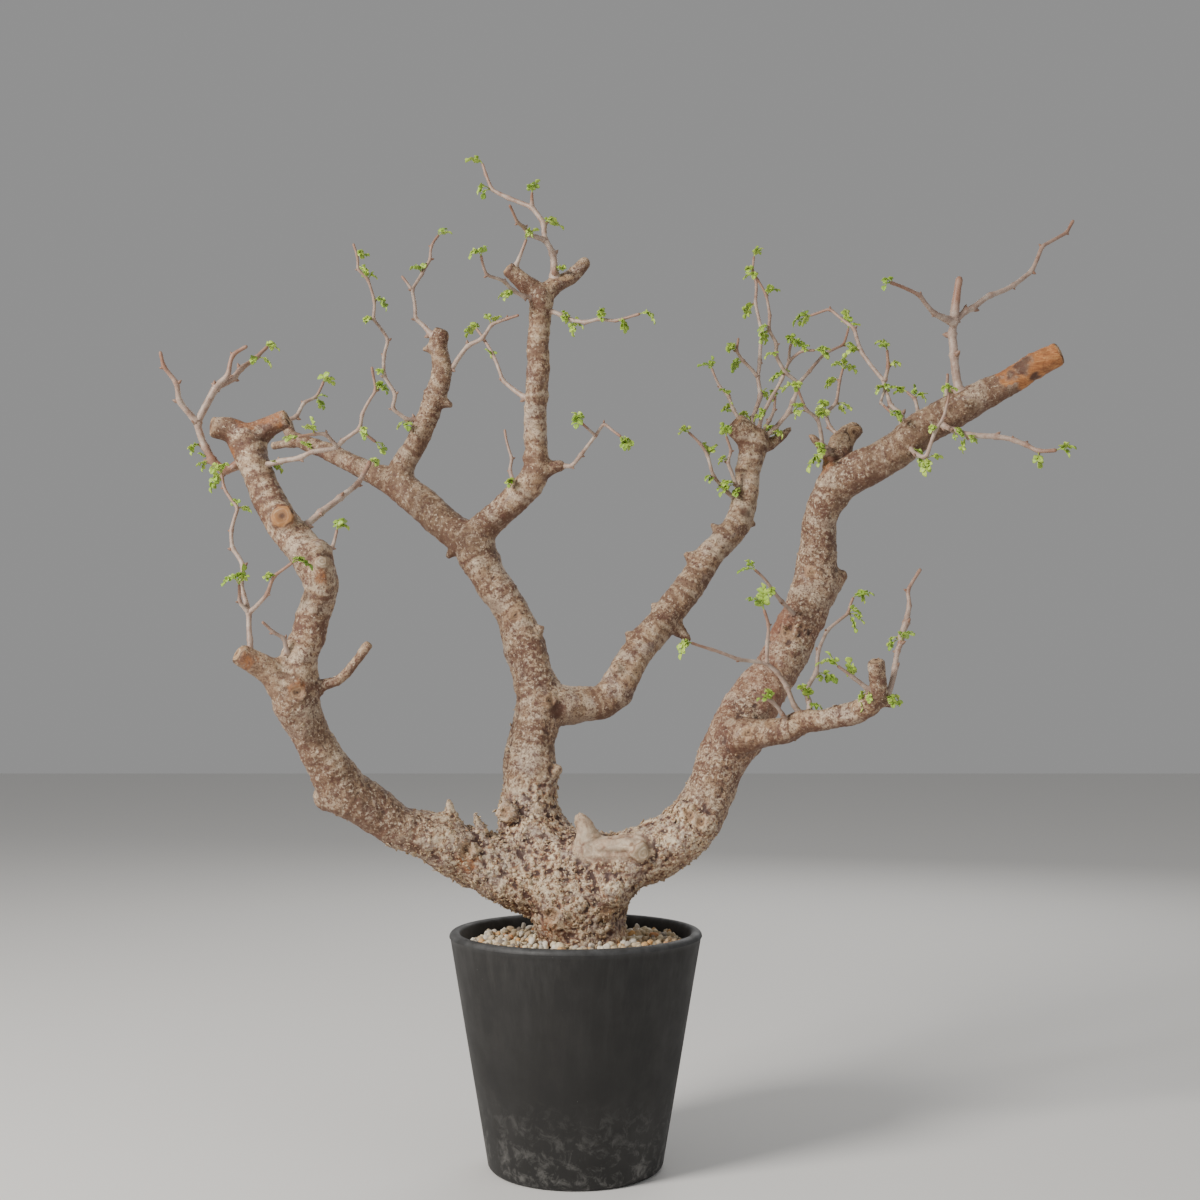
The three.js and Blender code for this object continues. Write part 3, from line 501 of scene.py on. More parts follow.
def make_gravel(material):
    """Crushed stones laid on a closed bed in the ring between the trunk and the wall."""
    ball, ball_faces = stone_shape()
    places, sizes = [], []
    for level, (spacing, rise) in enumerate(STONE_LAYERS):
        for x, y in scattered(spacing, GRAVEL_OUTER, 11 + level):
            from_trunk = math.dist((x, y), TRUNK_CENTRE)
            if from_trunk < GRAVEL_INNER:
                continue
            size = random.uniform(*STONE_SIZES)
            if math.hypot(x, y) > GRAVEL_OUTER - size:
                continue
            if level and random.random() < 0.35:
                continue
            heap = 2.6 * MM * max(0.0, 1 - (from_trunk - GRAVEL_INNER) / (35 * MM))
            places.append((x, y, BED_TOP + rise + heap + random.uniform(-0.6, 0.9) * MM))
            sizes.append(size)
    count = len(places)
    places = np.array(places)
    sizes = np.array(sizes)[:, None]
    stretch = rng.uniform(0.62, 1.0, (count, 3)) * sizes * 1.1
    spins = np.array([Matrix.Rotation(a, 3, Vector(v)).to_3x3() for a, v in
                      zip(rng.uniform(0, 6.28, count), unit(rng.normal(size=(count, 3))))])
    # Planes shave each ball into a chipped stone.
    shapes = np.repeat(ball[None], count, axis=0)
    for chip in range(7):
        facing = unit(rng.normal(size=(count, 3)))
        depth = rng.uniform(0.55, 0.85, (count, 1))
        over = np.maximum(np.einsum("npc,nc->np", shapes, facing) - depth, 0)
        shapes -= over[..., None] * facing[:, None]
    shapes *= 1 + rng.normal(0, 0.03, shapes.shape[:2])[..., None]
    points = np.einsum("nij,npj->npi", spins, shapes * stretch[:, None]) + places[:, None]
    limit = np.maximum(np.linalg.norm(points[..., :2], axis=-1) / (GRAVEL_OUTER + 1 * MM), 1)
    points[..., :2] /= limit[..., None]
    faces = ball_faces[None] + (np.arange(count) * len(ball))[:, None, None]
    bed_points, bed_faces = gravel_bed(count * len(ball))
    stones = mesh_piece("gravel_stones", np.vstack([points.reshape(-1, 3), bed_points]),
                        np.vstack([faces.reshape(-1, 3), bed_faces]))
    kind = np.repeat(rng.random(count), len(ball))
    tint = np.repeat(rng.random(count), len(ball))
    bed = np.zeros(len(bed_points))
    write_floats(stones, "kind", np.concatenate([kind, bed - 1]))
    write_floats(stones, "tint", np.concatenate([tint, bed + 0.5]))
    dress(stones, material, "gravel", "gravel_top_dressing")


def gravel_bed(first):
    """The closed ring of finer grit under the stones, as triangles."""
    around, across = 120, 22
    points = []
    for i in range(around):
        turn = 2 * math.pi * i / around
        for j in range(across):
            out = (GRAVEL_INNER - 2 * MM) + (GRAVEL_OUTER - GRAVEL_INNER + 2 * MM) * j / (across - 1)
            x, y = out * math.cos(turn), out * math.sin(turn)
            shift = 1 - (out - GRAVEL_INNER) / (GRAVEL_OUTER - GRAVEL_INNER)
            x += TRUNK_CENTRE[0] * max(shift, 0)
            points.append((x, y, BED_TOP + 0.5 * MM * noise.noise(Vector((x, y, 0)) * 400)))
        points.append((points[-1][0], points[-1][1], GRAVEL_BASE))
        points.append((points[-1 - across][0], points[-1 - across][1], GRAVEL_BASE))
    ring = across + 2
    faces = []
    for i in range(around):
        for j in range(ring):
            a, b = i * ring + j, i * ring + (j + 1) % ring
            c, d = (i + 1) % around * ring + (j + 1) % ring, (i + 1) % around * ring + j
            faces += [(a, b, c), (a, c, d)]
    return np.array(points), np.array(faces)[:, ::-1] + first


def gravel_material():
    g = Graph("crushed_gravel")
    kind = g.attribute("kind")
    tint = g.attribute("tint")
    tone = g.ramp(kind, (0.0, (0.78, 0.68, 0.48)), (0.24, (0.70, 0.56, 0.36)),
                  (0.40, (0.86, 0.80, 0.68)), (0.58, (0.58, 0.43, 0.26)),
                  (0.70, (0.48, 0.44, 0.38)), (0.77, (0.74, 0.42, 0.15)),
                  (0.89, (0.24, 0.21, 0.18)), (0.93, (0.62, 0.27, 0.09)), interpolation="CONSTANT")
    tone = g.mix(g.times(tint, 0.22), tone, (0.40, 0.33, 0.24))
    tone = g.cover(tone, (0.34, 0.26, 0.19), g.noise(240, 6, 0.65), (0.42, 0.0), (0.74, 0.45))
    tone = g.cover(tone, (0.80, 0.78, 0.72), g.noise(520, 3, 0.6), (0.62, 0.0), (0.75, 0.5))
    bed = g.math("LESS_THAN", kind, -0.5)
    grit = g.ramp(g.noise(380, 6, 0.7), (0.35, (0.035, 0.024, 0.016)), (0.55, (0.10, 0.075, 0.05)),
                  (0.72, (0.30, 0.25, 0.18)))
    tone = g.mix(bed, tone, grit)
    rough = g.ramp(g.noise(180, 3), (0.3, 0.62), (0.7, 0.85))
    normal = g.bump(g.noise(650, 6, 0.7), 0.35, 0.0008)
    return g.finish(tone, rough, normal)


# ------------------------------------------------------------------ the tree's shape

TREE_VOXEL = 1.8 * MM
BURIED_BELOW = 0.196
SMOOTHING_ROUNDS = 60
SMOOTHING_SHARE = 0.25
CREASE_ROUNDS = 6
SAW_CUTS = (
    # Middle of the cut, a point back along the limb, and the radius, in mm.
    ((-336, -72, 691), (-322, -67, 690), 10), ((-267, -68, 700), (-283, -66, 693), 8.5),
    ((-298, -119, 480), (-271, -104, 464), 9.5), ((-264, -101, 605), (-266, -82, 600), 11),
    ((-184, -101, 490), (-200, -96, 470), 4.5), ((-307, 124, 731), (-301, 122, 714), 7),
    ((-322, 126, 704), (-307, 124, 706), 4.5), ((-137, 60, 812), (-141, 62, 801), 8.5),
    ((-67, -8, 857), (-50, -4, 843), 7.5), ((165, 132, 729), (187, 139, 710), 13),
    ((275, 14, 705), (259, 10, 690), 8.5), ((452, -60, 762), (427, -54, 750), 11.5),
    ((264, -140, 474), (266, -135, 458), 7.5), ((270, 3, 699), (268, 17, 695), 8.5),
)
KNOTS = (
    # Ringed knots and healed holes: place and radius in mm, and how far the middle sinks.
    ((104, -52, 332), 7, 1.5), ((200, -22, 512), 8, 3.5),
    ((160, -60, 408), 6, 1.5), ((181, -68, 414), 5, 1.2), ((-246, -110, 446), 7, 1.8),
    ((-100, -48, 300), 8, 2.5), ((-24, -46, 240), 8, 2.0), ((30, -52, 232), 7, 1.8),
    ((-20, 2, 440), 6, 1.5), ((-60, 24, 520), 6, 1.4), ((226, -4, 560), 6, 1.6),
    ((20, 56, 250), 9, 2.2), ((-60, 40, 300), 8, 2.0), ((110, 20, 330), 8, 2.0),
    ((-67, -24, 333), 8, 2.6), ((116, -54, 326), 6, 1.6), ((38, 42, 470), 4, 1.0),
)
# Cut stubs that stand proud with a ringed, cream face: place, radius and rise, in mm.
RINGED_STUBS = (
    ((60, -52, 299), 10, 4.2), ((-94, -40, 300), 6, 2.5), ((-33, -22, 338), 7, 2.0),
    ((-21, -40, 330), 5, 2.0), ((144, -46, 420), 6, 2.0), ((-226, -112, 562), 7, 2.4),
    ((-232, -116, 520), 4.5, 1.8),
)
ORANGE_PATCHES = (
    # Bark worn or healed to an orange brown: place and radius in mm.
    ((-303, -66, 694), 15), ((-280, -72, 700), 13), ((-322, -70, 664), 9), ((-30, -44, 226), 11),
    ((26, -48, 312), 8), ((-264, -96, 622), 9), ((-264, -101, 605), 13), ((-100, -44, 288), 12),
    ((246, -8, 660), 11), ((-290, -120, 474), 9), ((-250, -108, 452), 8), ((-226, -116, 548), 7),
)
DARK_PATCHES = (
    # Stains and dead bark: place and radius in mm.
    ((28, -52, 288), 9), ((-20, 16, 430), 9), ((417, -62, 751), 12), ((404, -66, 742), 7),
    ((-26, 10, 392), 7), ((-150, -58, 300), 8), ((-336, -74, 691), 7), ((428, -58, 744), 7),
    ((165, 130, 729), 9), ((-137, 60, 812), 8), ((250, -2, 668), 7), ((-34, 38, 664), 6),
    ((-268, 106, 694), 9), ((172, 110, 630), 7),
)
TALLEST_STUB = 4.2
BARE_WOOD_FROM = 0.398
SCAR_BUMPS = 420
RING_SPACING = 12.5 * MM
FOLD_SPACING = 5.2 * MM


def voxel_remeshed(points, faces, voxel):
    """One even skin over a faceted solid, as a Blender mesh."""
    rough = bpy.data.meshes.new("rough")
    rough.from_pydata(points.tolist(), [], faces)
    holder = linked("rough", rough)
    remesh = holder.modifiers.new("skin", "REMESH")
    remesh.mode = "VOXEL"
    remesh.voxel_size = voxel
    skin = modified_mesh(holder)
    bpy.data.objects.remove(holder)
    return skin


def neighbour_mean(values, edges, degree):
    """Each point's mean over its neighbours."""
    first, second = edges[:, 0], edges[:, 1]
    flat = values.reshape(len(values), -1)
    total = np.stack([
        np.bincount(first, flat[second, k], len(values)) + np.bincount(second, flat[first, k], len(values))
        for k in range(flat.shape[1])], axis=1)
    return (total / degree[:, None]).reshape(values.shape)


def local_thickness(points, normals, tree):
    """Thickness of the wood under each point: the shortest of three rays fanned inwards."""
    thick = np.full(len(points), 0.09)
    across = unit(np.cross(normals, np.roll(normals, 1, axis=1) + 0.013))
    starts = points - normals * 0.4 * MM
    for turn in (0.0, 2.094, 4.189):
        side = across * math.cos(turn) + np.cross(normals, across) * math.sin(turn)
        aims = unit(-normals + 0.6 * side)
        for i, (start, aim) in enumerate(zip(starts.tolist(), aims.tolist())):
            gap = tree.ray_cast(start, aim, 0.11)[3]
            if gap is not None and gap * 0.86 < thick[i]:
                thick[i] = gap * 0.86
    return thick


def limb_tube(points, spine):
    """For points near a line of stations, the distance to it and the place along it from 0 to 1."""
    stations = np.array(spine) * MM
    best = np.full(len(points), 9.0)
    along = np.zeros(len(points))
    lengths = np.linalg.norm(np.diff(stations, axis=0), axis=1)
    reached = np.concatenate([[0], np.cumsum(lengths)])
    for k, (a, b) in enumerate(zip(stations[:-1], stations[1:])):
        t = np.clip(((points - a) @ (b - a)) / lengths[k] ** 2, 0, 1)
        gap = np.linalg.norm(points - a - t[:, None] * (b - a), axis=1)
        nearer = gap < best
        best = np.where(nearer, gap, best)
        along = np.where(nearer, (reached[k] + t * lengths[k]) / reached[-1], along)
    return best, along


# Lines of stations along the limbs, in mm.
LEFT_LIMB = ((-60, -8, 276), (-104, -20, 293), (-163, -41, 321), (-212, -60, 353), (-239, -80, 407),
             (-251, -90, 435))
LEFT_LIMB_UPPER = ((-251, -90, 440), (-239, -97, 498), (-228, -99, 547), (-255, -88, 585),
                   (-305, -61, 680))
RIGHT_LIMB = ((51, -20, 288), (96, -28, 308), (131, -23, 363), (164, -12, 427), (205, 10, 485),
              (235, 20, 565), (255, -6, 652))
LOW_BRANCH = ((158, -45, 406), (193, -70, 411), (251, -115, 428), (264, -140, 474))
CENTRE_TRUNK = ((-44, 10, 313), (-45, 18, 371), (-34, 30, 438), (-65, 46, 526), (-104, 60, 602))
RIGHT_ARM = ((262, -8, 652), (308, -24, 679), (377, -42, 722), (452, -60, 762))
MIDDLE_LIMB = ((3, 41, 433), (38, 54, 447), (86, 81, 517), (137, 106, 588), (177, 127, 658),
               (187, 140, 714))
LEFT_CENTRE = ((-104, 60, 600), (-150, 77, 631), (-204, 95, 667), (-301, 122, 714))
LEFT_RISER = ((-180, 86, 674), (-159, 79, 713), (-137, 67, 776), (-137, 60, 812))
RIGHT_CENTRE = ((-93, 56, 612), (-47, 44, 653), (-40, 36, 686), (-39, 20, 747), (-34, 0, 825))
WEATHERED_LIMBS = ((RIGHT_ARM, 0.75), (LEFT_CENTRE, 0.8), (LEFT_LIMB, 0.6), (LEFT_RISER, 0.35),
                   (RIGHT_LIMB[4:], 0.30))
SMOOTH_HORN = ((14, -34, 302), (9, -37, 317), (5, -38, 336))
SMOOTH_RIDGE = ((12, -32, 302), (30, -42, 304), (46, -47, 305), (57, -48, 302))
RING_LIMBS = (LEFT_LIMB, LEFT_LIMB_UPPER, CENTRE_TRUNK, RIGHT_ARM, RIGHT_LIMB, LOW_BRANCH, MIDDLE_LIMB,
              LEFT_CENTRE, LEFT_RISER, RIGHT_CENTRE)


def bark_fields(points):
    """How old and flaky, how granular and how red the bark is at each point."""
    x, y, z = points.T
    blur = field(points, 0.045, 3.0)
    hub = np.sqrt((x / 0.20) ** 2 + (y / 0.14) ** 2 + ((z - 0.262) / 0.110) ** 2)
    old = 1 - step(0.72, 1.15, hub + 0.12 * blur)
    grain = np.maximum(old, 0.30 + 0 * z)
    for spine, start, end in ((LEFT_LIMB, 0.95, 0.55), (RIGHT_LIMB, 0.95, 0.75), (LOW_BRANCH, 0.6, 0.4),
                              (CENTRE_TRUNK, 0.85, 0.35)):
        gap, along = limb_tube(points, spine)
        grain = np.maximum(grain, np.exp(-(gap / 0.036) ** 6) * (start + (end - start) * along))
    grain = np.clip(grain + 0.22 * field(points, 0.03, 9.0), 0, 1)
    right_gap, right_along = limb_tube(points, RIGHT_LIMB)
    stretch = step(0.2, 0.5, right_along) * (1 - step(0.6, 0.85, right_along))
    red = np.exp(-(right_gap / 0.036) ** 6) * stretch
    red = np.clip(0.55 * red * (0.6 + 0.8 * field(points, 0.035, 12.0)), 0, 1)
    plain = smooth_field(points)
    return old * (1 - plain), grain * (1 - 0.85 * plain), red


def weathered_field(points):
    """How brown and weathered the skin is: most on the right arm and the long left limbs."""
    value = np.zeros(len(points))
    for spine, share in WEATHERED_LIMBS:
        gap, along = limb_tube(points, spine)
        value = np.maximum(value, share * np.exp(-(gap / 0.034) ** 6))
    return np.clip(value * (1 + 0.5 * field(points, 0.025, 61.0)), 0, 1)


def smooth_field(points):
    """1 on the horn and its ridge, where the bark is smooth."""
    ragged = 0.002 * field(points, 0.045, 3.0)
    gaps = [limb_tube(points, spine)[0] for spine in (SMOOTH_HORN, SMOOTH_RIDGE)]
    return 1 - step(0.010, 0.017, np.minimum(*gaps) + ragged)


def softened(skin, solid):
    """Rounds the skin's edges by the wood's thickness, and gives its points, normals and thickness."""
    points, edges, normals = mesh_arrays(skin)
    degree = np.bincount(edges.ravel(), minlength=len(points)).astype(float)
    thick = local_thickness(points, normals, solid)
    for repeat in range(8):
        thick = 0.5 * thick + 0.5 * neighbour_mean(thick, edges, degree)
    spread = SMOOTHING_SHARE * thick / 2
    pace = np.clip(spread ** 2 * 2 / (SMOOTHING_ROUNDS * TREE_VOXEL ** 2), 0.04, 0.7)[:, None]
    for repeat in range(SMOOTHING_ROUNDS):
        points += pace * (neighbour_mean(points, edges, degree) - points)
    # Where limbs meet, the hollow between them fills up into a collar.
    for repeat in range(CREASE_ROUNDS):
        set_points(skin, points)
        points, edges, normals = mesh_arrays(skin)
        for fill in range(6):
            hollow = np.einsum("ij,ij->i", neighbour_mean(points, edges, degree) - points, normals)
            points += normals * (0.6 * np.maximum(hollow, 0))[:, None]
    set_points(skin, points)
    points, edges, normals = mesh_arrays(skin)
    # Smoothing thins the wood a little, which this puts back.
    points += normals * (thick / 2 * 0.045)[:, None]
    return points, normals, thick


def bark_relief(points, thick):
    """How far the bark stands out at each point, in metres."""
    old, grain, _ = bark_fields(points)
    small = step(0.008, 0.035, thick)
    cut, ring = saw_cut_fields(points)
    stub, stub_ring = stub_fields(points)
    calm = (1 - cut) * (1 - stub)
    relief = 1.7 * MM * field(points, 0.030) * small
    relief += 0.8 * MM * field(points, 0.013, 5.0) * (0.35 + 0.65 * small)
    relief += grain * calm * (0.62 * MM * (ridges(points, 0.0075, 1.7) - 0.45)
                              + 0.48 * MM * field(points, 0.0040, 2.2))
    relief += old * calm * 0.95 * MM * (ridges(points, 0.014, 7.7) - 0.5)
    relief += (1 - grain) * calm * 0.25 * MM * field(points, 0.005, 4.4)
    relief += (1 - 0.7 * grain) * calm * cross_rings(points)
    relief += calm * scar_bumps(points)
    relief += calm * ridge_folds(points)
    relief += knot_relief(points)
    relief += stub_relief(stub, stub_ring)
    relief -= cut * 0.35 * MM * (0.5 + 0.5 * np.cos(ring * 34))
    return relief


def write_bark_fields(tree, points, edges, normals, old, grain, red):
    """The numbers at each point that the bark material reads."""
    degree = np.bincount(edges.ravel(), minlength=len(points)).astype(float)
    cut, ring = saw_cut_fields(points)
    stub, stub_ring = stub_fields(points)
    # Crevices lie below their neighbourhood's mean, crests above it.
    mean = points
    for repeat in range(10):
        mean = neighbour_mean(mean, edges, degree)
    proud = np.einsum("ij,ij->i", points - mean, normals) / MM
    fields = {
        "stub": stub, "stub_ring": stub_ring, "cut": cut, "ring": ring,
        "old": old, "grain": grain, "red": red,
        "bare": bare_field(points, normals),
        "orange": patch_field(points, ORANGE_PATCHES),
        "dark": patch_field(points, DARK_PATCHES),
        "band": cross_bands(points),
        "smooth": smooth_field(points),
        "weathered": weathered_field(points),
        "knot": knot_fields(points),
        "proud": np.clip(0.5 + proud * 0.9, 0, 1),
        "under": np.clip(-normals[:, 2], 0, 1),
    }
    for name, values in fields.items():
        write_floats(tree, name, values)


def make_tree(material, cad_points, cad_faces, solid):
    """The grown wood: an even skin over the CAD solid, softened by its own thickness, then given
    its bark relief, knots and saw cuts."""
    skin = voxel_remeshed(cad_points, cad_faces, TREE_VOXEL)
    points, normals, thick = softened(skin, solid)
    set_points(skin, points + normals * bark_relief(points, thick)[:, None])
    crop_buried(skin)
    tree = linked("caudex_bark", skin)
    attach(tree, "root")
    points, edges, normals = mesh_arrays(skin)
    old, grain, red = bark_fields(points)
    write_bark_fields(tree, points, edges, normals, old, grain, red)
    skin.polygons.foreach_set("use_smooth", np.full(len(skin.polygons), True))
    dress(tree, material, "bark", "caudex_tree")
    return points, normals, old, grain


def set_points(mesh, points):
    mesh.vertices.foreach_set("co", np.asarray(points, dtype=np.float32).ravel())
    mesh.update()


def crop_buried(mesh):
    """Takes off the root crown's lowest part, deep in the potting mix, and closes it flat."""
    body = bmesh.new()
    body.from_mesh(mesh)
    result = bmesh.ops.bisect_plane(body, geom=body.verts[:] + body.edges[:] + body.faces[:],
                                    plane_co=(0, 0, BURIED_BELOW), plane_no=(0, 0, -1), clear_outer=True)
    rim = [e for e in result["geom_cut"] if isinstance(e, bmesh.types.BMEdge)]
    bmesh.ops.holes_fill(body, edges=rim, sides=0)
    body.to_mesh(mesh)
    body.free()
    mesh.update()


def saw_cut_fields(points):
    """1 on a sawn face, and the distance from its middle as a share of its radius."""
    cut = np.zeros(len(points))
    ring = np.zeros(len(points))
    for middle, back, radius in SAW_CUTS:
        middle = np.array(middle) * MM
        along = unit(middle - np.array(back) * MM)
        reach = points - middle
        ahead = reach @ along
        out = np.linalg.norm(reach - ahead[:, None] * along, axis=1) / (radius * MM)
        near = np.nonzero(out < 2)[0]
        out[near] *= 1 + 0.30 * field(points[near], 0.8 * radius * MM, 43.0)
        here = step(-1.4 * MM, -0.2 * MM, ahead) * (1 - step(0.92, 1.12, out)) * (ahead < 6 * MM)
        nearer = here > cut
        cut = np.where(nearer, here, cut)
        ring = np.where(nearer, out, ring)
    return cut, ring


def snapped(points, place):
    """The bark point nearest to a place given in mm."""
    return points[np.argmin(np.linalg.norm(points - np.array(place) * MM, axis=1))]


def knot_shares(points, place, radius):
    """Distance from a knot's middle as a share of its radius, pulled out of round by noise.
    The middle is the bark point nearest to the place, so it lies on the bark."""
    reach = points - snapped(points, place)
    out = np.linalg.norm(reach, axis=1) / (radius * MM)
    near = np.nonzero(out < 3)[0]
    out[near] *= 1 + 0.30 * field(points[near], 0.6 * radius * MM, 41.0)
    return out


def knot_relief(points):
    """A raised collar round a sunken middle, with a ring or two between."""
    relief = np.zeros(len(points))
    for place, radius, depth in KNOTS:
        out = knot_shares(points, place, radius)
        collar = np.exp(-((out - 1) / 0.28) ** 2) * 0.55 * depth
        pit = -depth * (1 - step(0.2, 0.85, out))
        rings = 0.22 * depth * np.cos(out * 12) * (out < 1.2)
        relief += (collar + pit + rings) * MM * (out < 2)
    return relief


def knot_fields(points):
    """1 in a knot's middle, falling through its rings to 0 outside."""
    knots = np.zeros(len(points))
    for place, radius, depth in KNOTS:
        out = knot_shares(points, place, radius)
        knots = np.maximum(knots, np.clip(1 - out * 0.8, 0, 1) + 0.2 * np.cos(out * 12) * (out < 1.25))
    return np.clip(knots, 0, 1)


def stub_fields(points):
    """1 on each proud ringed stub, and the distance from its middle as a share of its radius."""
    stub, ring = np.zeros(len(points)), np.full(len(points), 2.0)
    for place, radius, rise in RINGED_STUBS:
        out = knot_shares(points, place, radius)
        stub = np.maximum(stub, (1 - step(0.95, 1.25, out)) * rise / TALLEST_STUB)
        ring = np.minimum(ring, out)
    return stub, ring


def stub_relief(stub, ring):
    face = 1 - step(0.70, 1.15, ring)
    return stub * MM * (4.0 * face + 0.45 * np.cos(ring * 13) - 1.2 * (1 - step(0.0, 0.35, ring)))


def patch_field(points, patches):
    """1 inside each ragged patch."""
    ragged = 0.35 * field(points, 0.006, 15.0)
    value = np.zeros(len(points))
    for place, radius in patches:
        out = np.linalg.norm(points - snapped(points, place), axis=1) / (radius * MM)
        value = np.maximum(value, 1 - step(0.55, 1.05, out + ragged))
    return value


def bare_field(points, normals):
    """1 where the right arm's end has lost its bark."""
    ragged = 0.010 * field(points, 0.012, 21.0)
    edge = points[:, 0] + ragged - 0.012 * (normals[:, 2] < -0.2)
    peeled = step(BARE_WOOD_FROM, BARE_WOOD_FROM + 0.003, edge)
    return peeled * (points[:, 2] > 0.70)


def scar_bumps(points):
    """Small raised leaf and bud scars scattered over all the wood."""
    relief = np.zeros(len(points))
    picks = rng.choice(len(points), SCAR_BUMPS, replace=False)
    for place, radius, rise in zip(points[picks], rng.uniform(2.2, 4.6, SCAR_BUMPS) * MM,
                                   rng.uniform(0.5, 1.7, SCAR_BUMPS) * MM):
        near = np.nonzero(np.abs(points[:, 0] - place[0]) < 2.2 * radius)[0]
        out = np.linalg.norm(points[near] - place, axis=1) / radius
        relief[near] += rise * (np.exp(-out ** 2) - 0.75 * np.exp(-(out / 0.42) ** 2)) * (out < 2.2)
    return relief


def round_the_limbs(points):
    """The distance along the nearest listed limb, with a little wander, and 1 near that limb."""
    place, near = np.zeros(len(points)), np.zeros(len(points))
    best = np.full(len(points), 9.0)
    wander = field(points, 0.02, 8.0) * 0.004
    for number, spine in enumerate(RING_LIMBS):
        gap, along = limb_tube(points, spine)
        length = np.linalg.norm(np.diff(np.array(spine), axis=0), axis=1).sum() * MM
        nearer = gap < best
        place = np.where(nearer, number + along * length + wander, place)
        best = np.minimum(best, gap)
    return place, 1 - step(0.024, 0.034, best)


def cross_rings(points):
    """Fine growth rings and wrinkles round the smooth limbs."""
    place, near = round_the_limbs(points)
    wave = np.sin(place * 2 * math.pi / RING_SPACING) ** 5
    flat = np.stack([place, 0.15 * points[:, 0], 0.15 * points[:, 1]], axis=1)
    return near * MM * (0.28 * wave + 0.40 * field(flat, 0.0036, 31.0))


def cross_bands(points):
    """0 to 1: brown bands across the limbs, some narrow and some broad."""
    place, near = round_the_limbs(points)
    flat = np.stack([place, 0.22 * points[:, 0], 0.22 * points[:, 1]], axis=1)
    value = 0.55 * field(flat, 0.005, 51.0) + 0.42 * field(flat, 0.022, 57.0)
    return np.clip(0.5 + 0.6 * near * value, 0, 1)


def ridge_folds(points):
    """Long folds that run with the smooth ridge into its knot."""
    gap, along = limb_tube(points, SMOOTH_RIDGE)
    fold = np.cos(gap * 2 * math.pi / FOLD_SPACING)
    return MM * 0.8 * fold * (1 - step(0.010, 0.017, gap)) * step(0.0, 0.2, along)


# ------------------------------------------------------------------ loose bark flakes

FLAKES = 6200
FLAKE_GRID = (3, 3)
FLAKE_THICKNESS = 0.32 * MM
GRAVEL_LINE = 0.2085


def shell_template(rows, columns):
    """Faces of a closed sheet of rows by columns points: the upper skin, then the lower."""
    grid = np.arange(rows * columns).reshape(rows, columns)
    under = grid + rows * columns
    faces = []
    for i in range(rows - 1):
        for j in range(columns - 1):
            a, b, c, d = grid[i, j], grid[i + 1, j], grid[i + 1, j + 1], grid[i, j + 1]
            faces.append((a, b, c, d))
            n = rows * columns
            faces.append((d + n, c + n, b + n, a + n))
    rim = list(grid[:, 0]) + list(grid[-1, 1:]) + list(grid[-2::-1, -1]) + list(grid[0, -2:0:-1])
    for k, a in enumerate(rim):
        b = rim[(k + 1) % len(rim)]
        faces.append((b, a, a + rows * columns, b + rows * columns))
    return np.array(faces)


def make_flakes(material, points, normals, old, grain):
    """Small curled scales of dead bark, each a closed shell that stands off the wood at one end."""
    weight = (old + 0.20 * grain ** 2) * (points[:, 2] > GRAVEL_LINE) * (grain > 0.35)
    picks = rng.choice(len(points), FLAKES, replace=False, p=weight / weight.sum())
    rough = old[picks]
    base, out = points[picks], unit(normals[picks] + rng.normal(0, 0.16, (FLAKES, 3)))
    side = unit(np.cross(out, rng.normal(size=(FLAKES, 3))))
    ahead = np.cross(out, side)
    length = (rng.uniform(0.8, 1.9, FLAKES) * (0.6 + 0.4 * rough)
              + 1.1 * (rng.random(FLAKES) < 0.06)) * MM
    width = length * rng.uniform(0.45, 0.95, FLAKES)
    lift = rng.uniform(0.05, 0.6, FLAKES) ** 1.4
    curl = rng.uniform(-0.25, 0.55, FLAKES)
    rows, columns = FLAKE_GRID
    u, v = [a.ravel() for a in np.meshgrid(np.linspace(0, 1, rows), np.linspace(-1, 1, columns),
                                           indexing="ij")]
    narrow = 1 - 0.45 * (2 * u - 1) ** 2
    ragged = rng.normal(0, 0.13, (2, FLAKES, len(u)))
    along = (u[None] * 2 - 0.55 + ragged[0]) * length[:, None]
    across = (v * narrow + ragged[1]) * width[:, None]
    rise = (lift[:, None] * u ** 1.7 * 2 * length[:, None] + curl[:, None] * v ** 2 * width[:, None]
            + rng.normal(0, 0.05, (FLAKES, len(u))) * length[:, None] - 0.15 * MM)
    sheet = (base[:, None] + along[..., None] * ahead[:, None] + across[..., None] * side[:, None]
             + rise[..., None] * out[:, None])
    lower = sheet - FLAKE_THICKNESS * out[:, None]
    corners = np.concatenate([sheet, lower], axis=1)
    template = shell_template(rows, columns)
    faces = template[None] + (np.arange(FLAKES) * corners.shape[1])[:, None, None]
    flakes = mesh_piece("bark_flakes", corners.reshape(-1, 3), faces.reshape(-1, 4))
    edge = np.tile(np.where((u > 0.9) | ((np.abs(v) > 0.9) & (u > 0.3)), 1.0, 0.15 + 0.35 * u), 2)
    write_floats(flakes, "edge", np.tile(edge, FLAKES))
    write_floats(flakes, "tone", np.repeat(rng.random(FLAKES), corners.shape[1]))
    write_floats(flakes, "old", np.repeat(rough, corners.shape[1]))
    dress(flakes, material, "bark")


# ------------------------------------------------------------------ bark materials

CREAM = (0.70, 0.535, 0.345)
TAN = (0.44, 0.285, 0.160)
RUST = (0.235, 0.095, 0.042)
RED_BROWN = (0.125, 0.050, 0.036)
DARK_PURPLE = (0.038, 0.018, 0.020)
GREY_BEIGE = (0.385, 0.255, 0.155)
PALE_GREY = (0.59, 0.445, 0.300)
LILAC_GREY = (0.32, 0.255, 0.235)


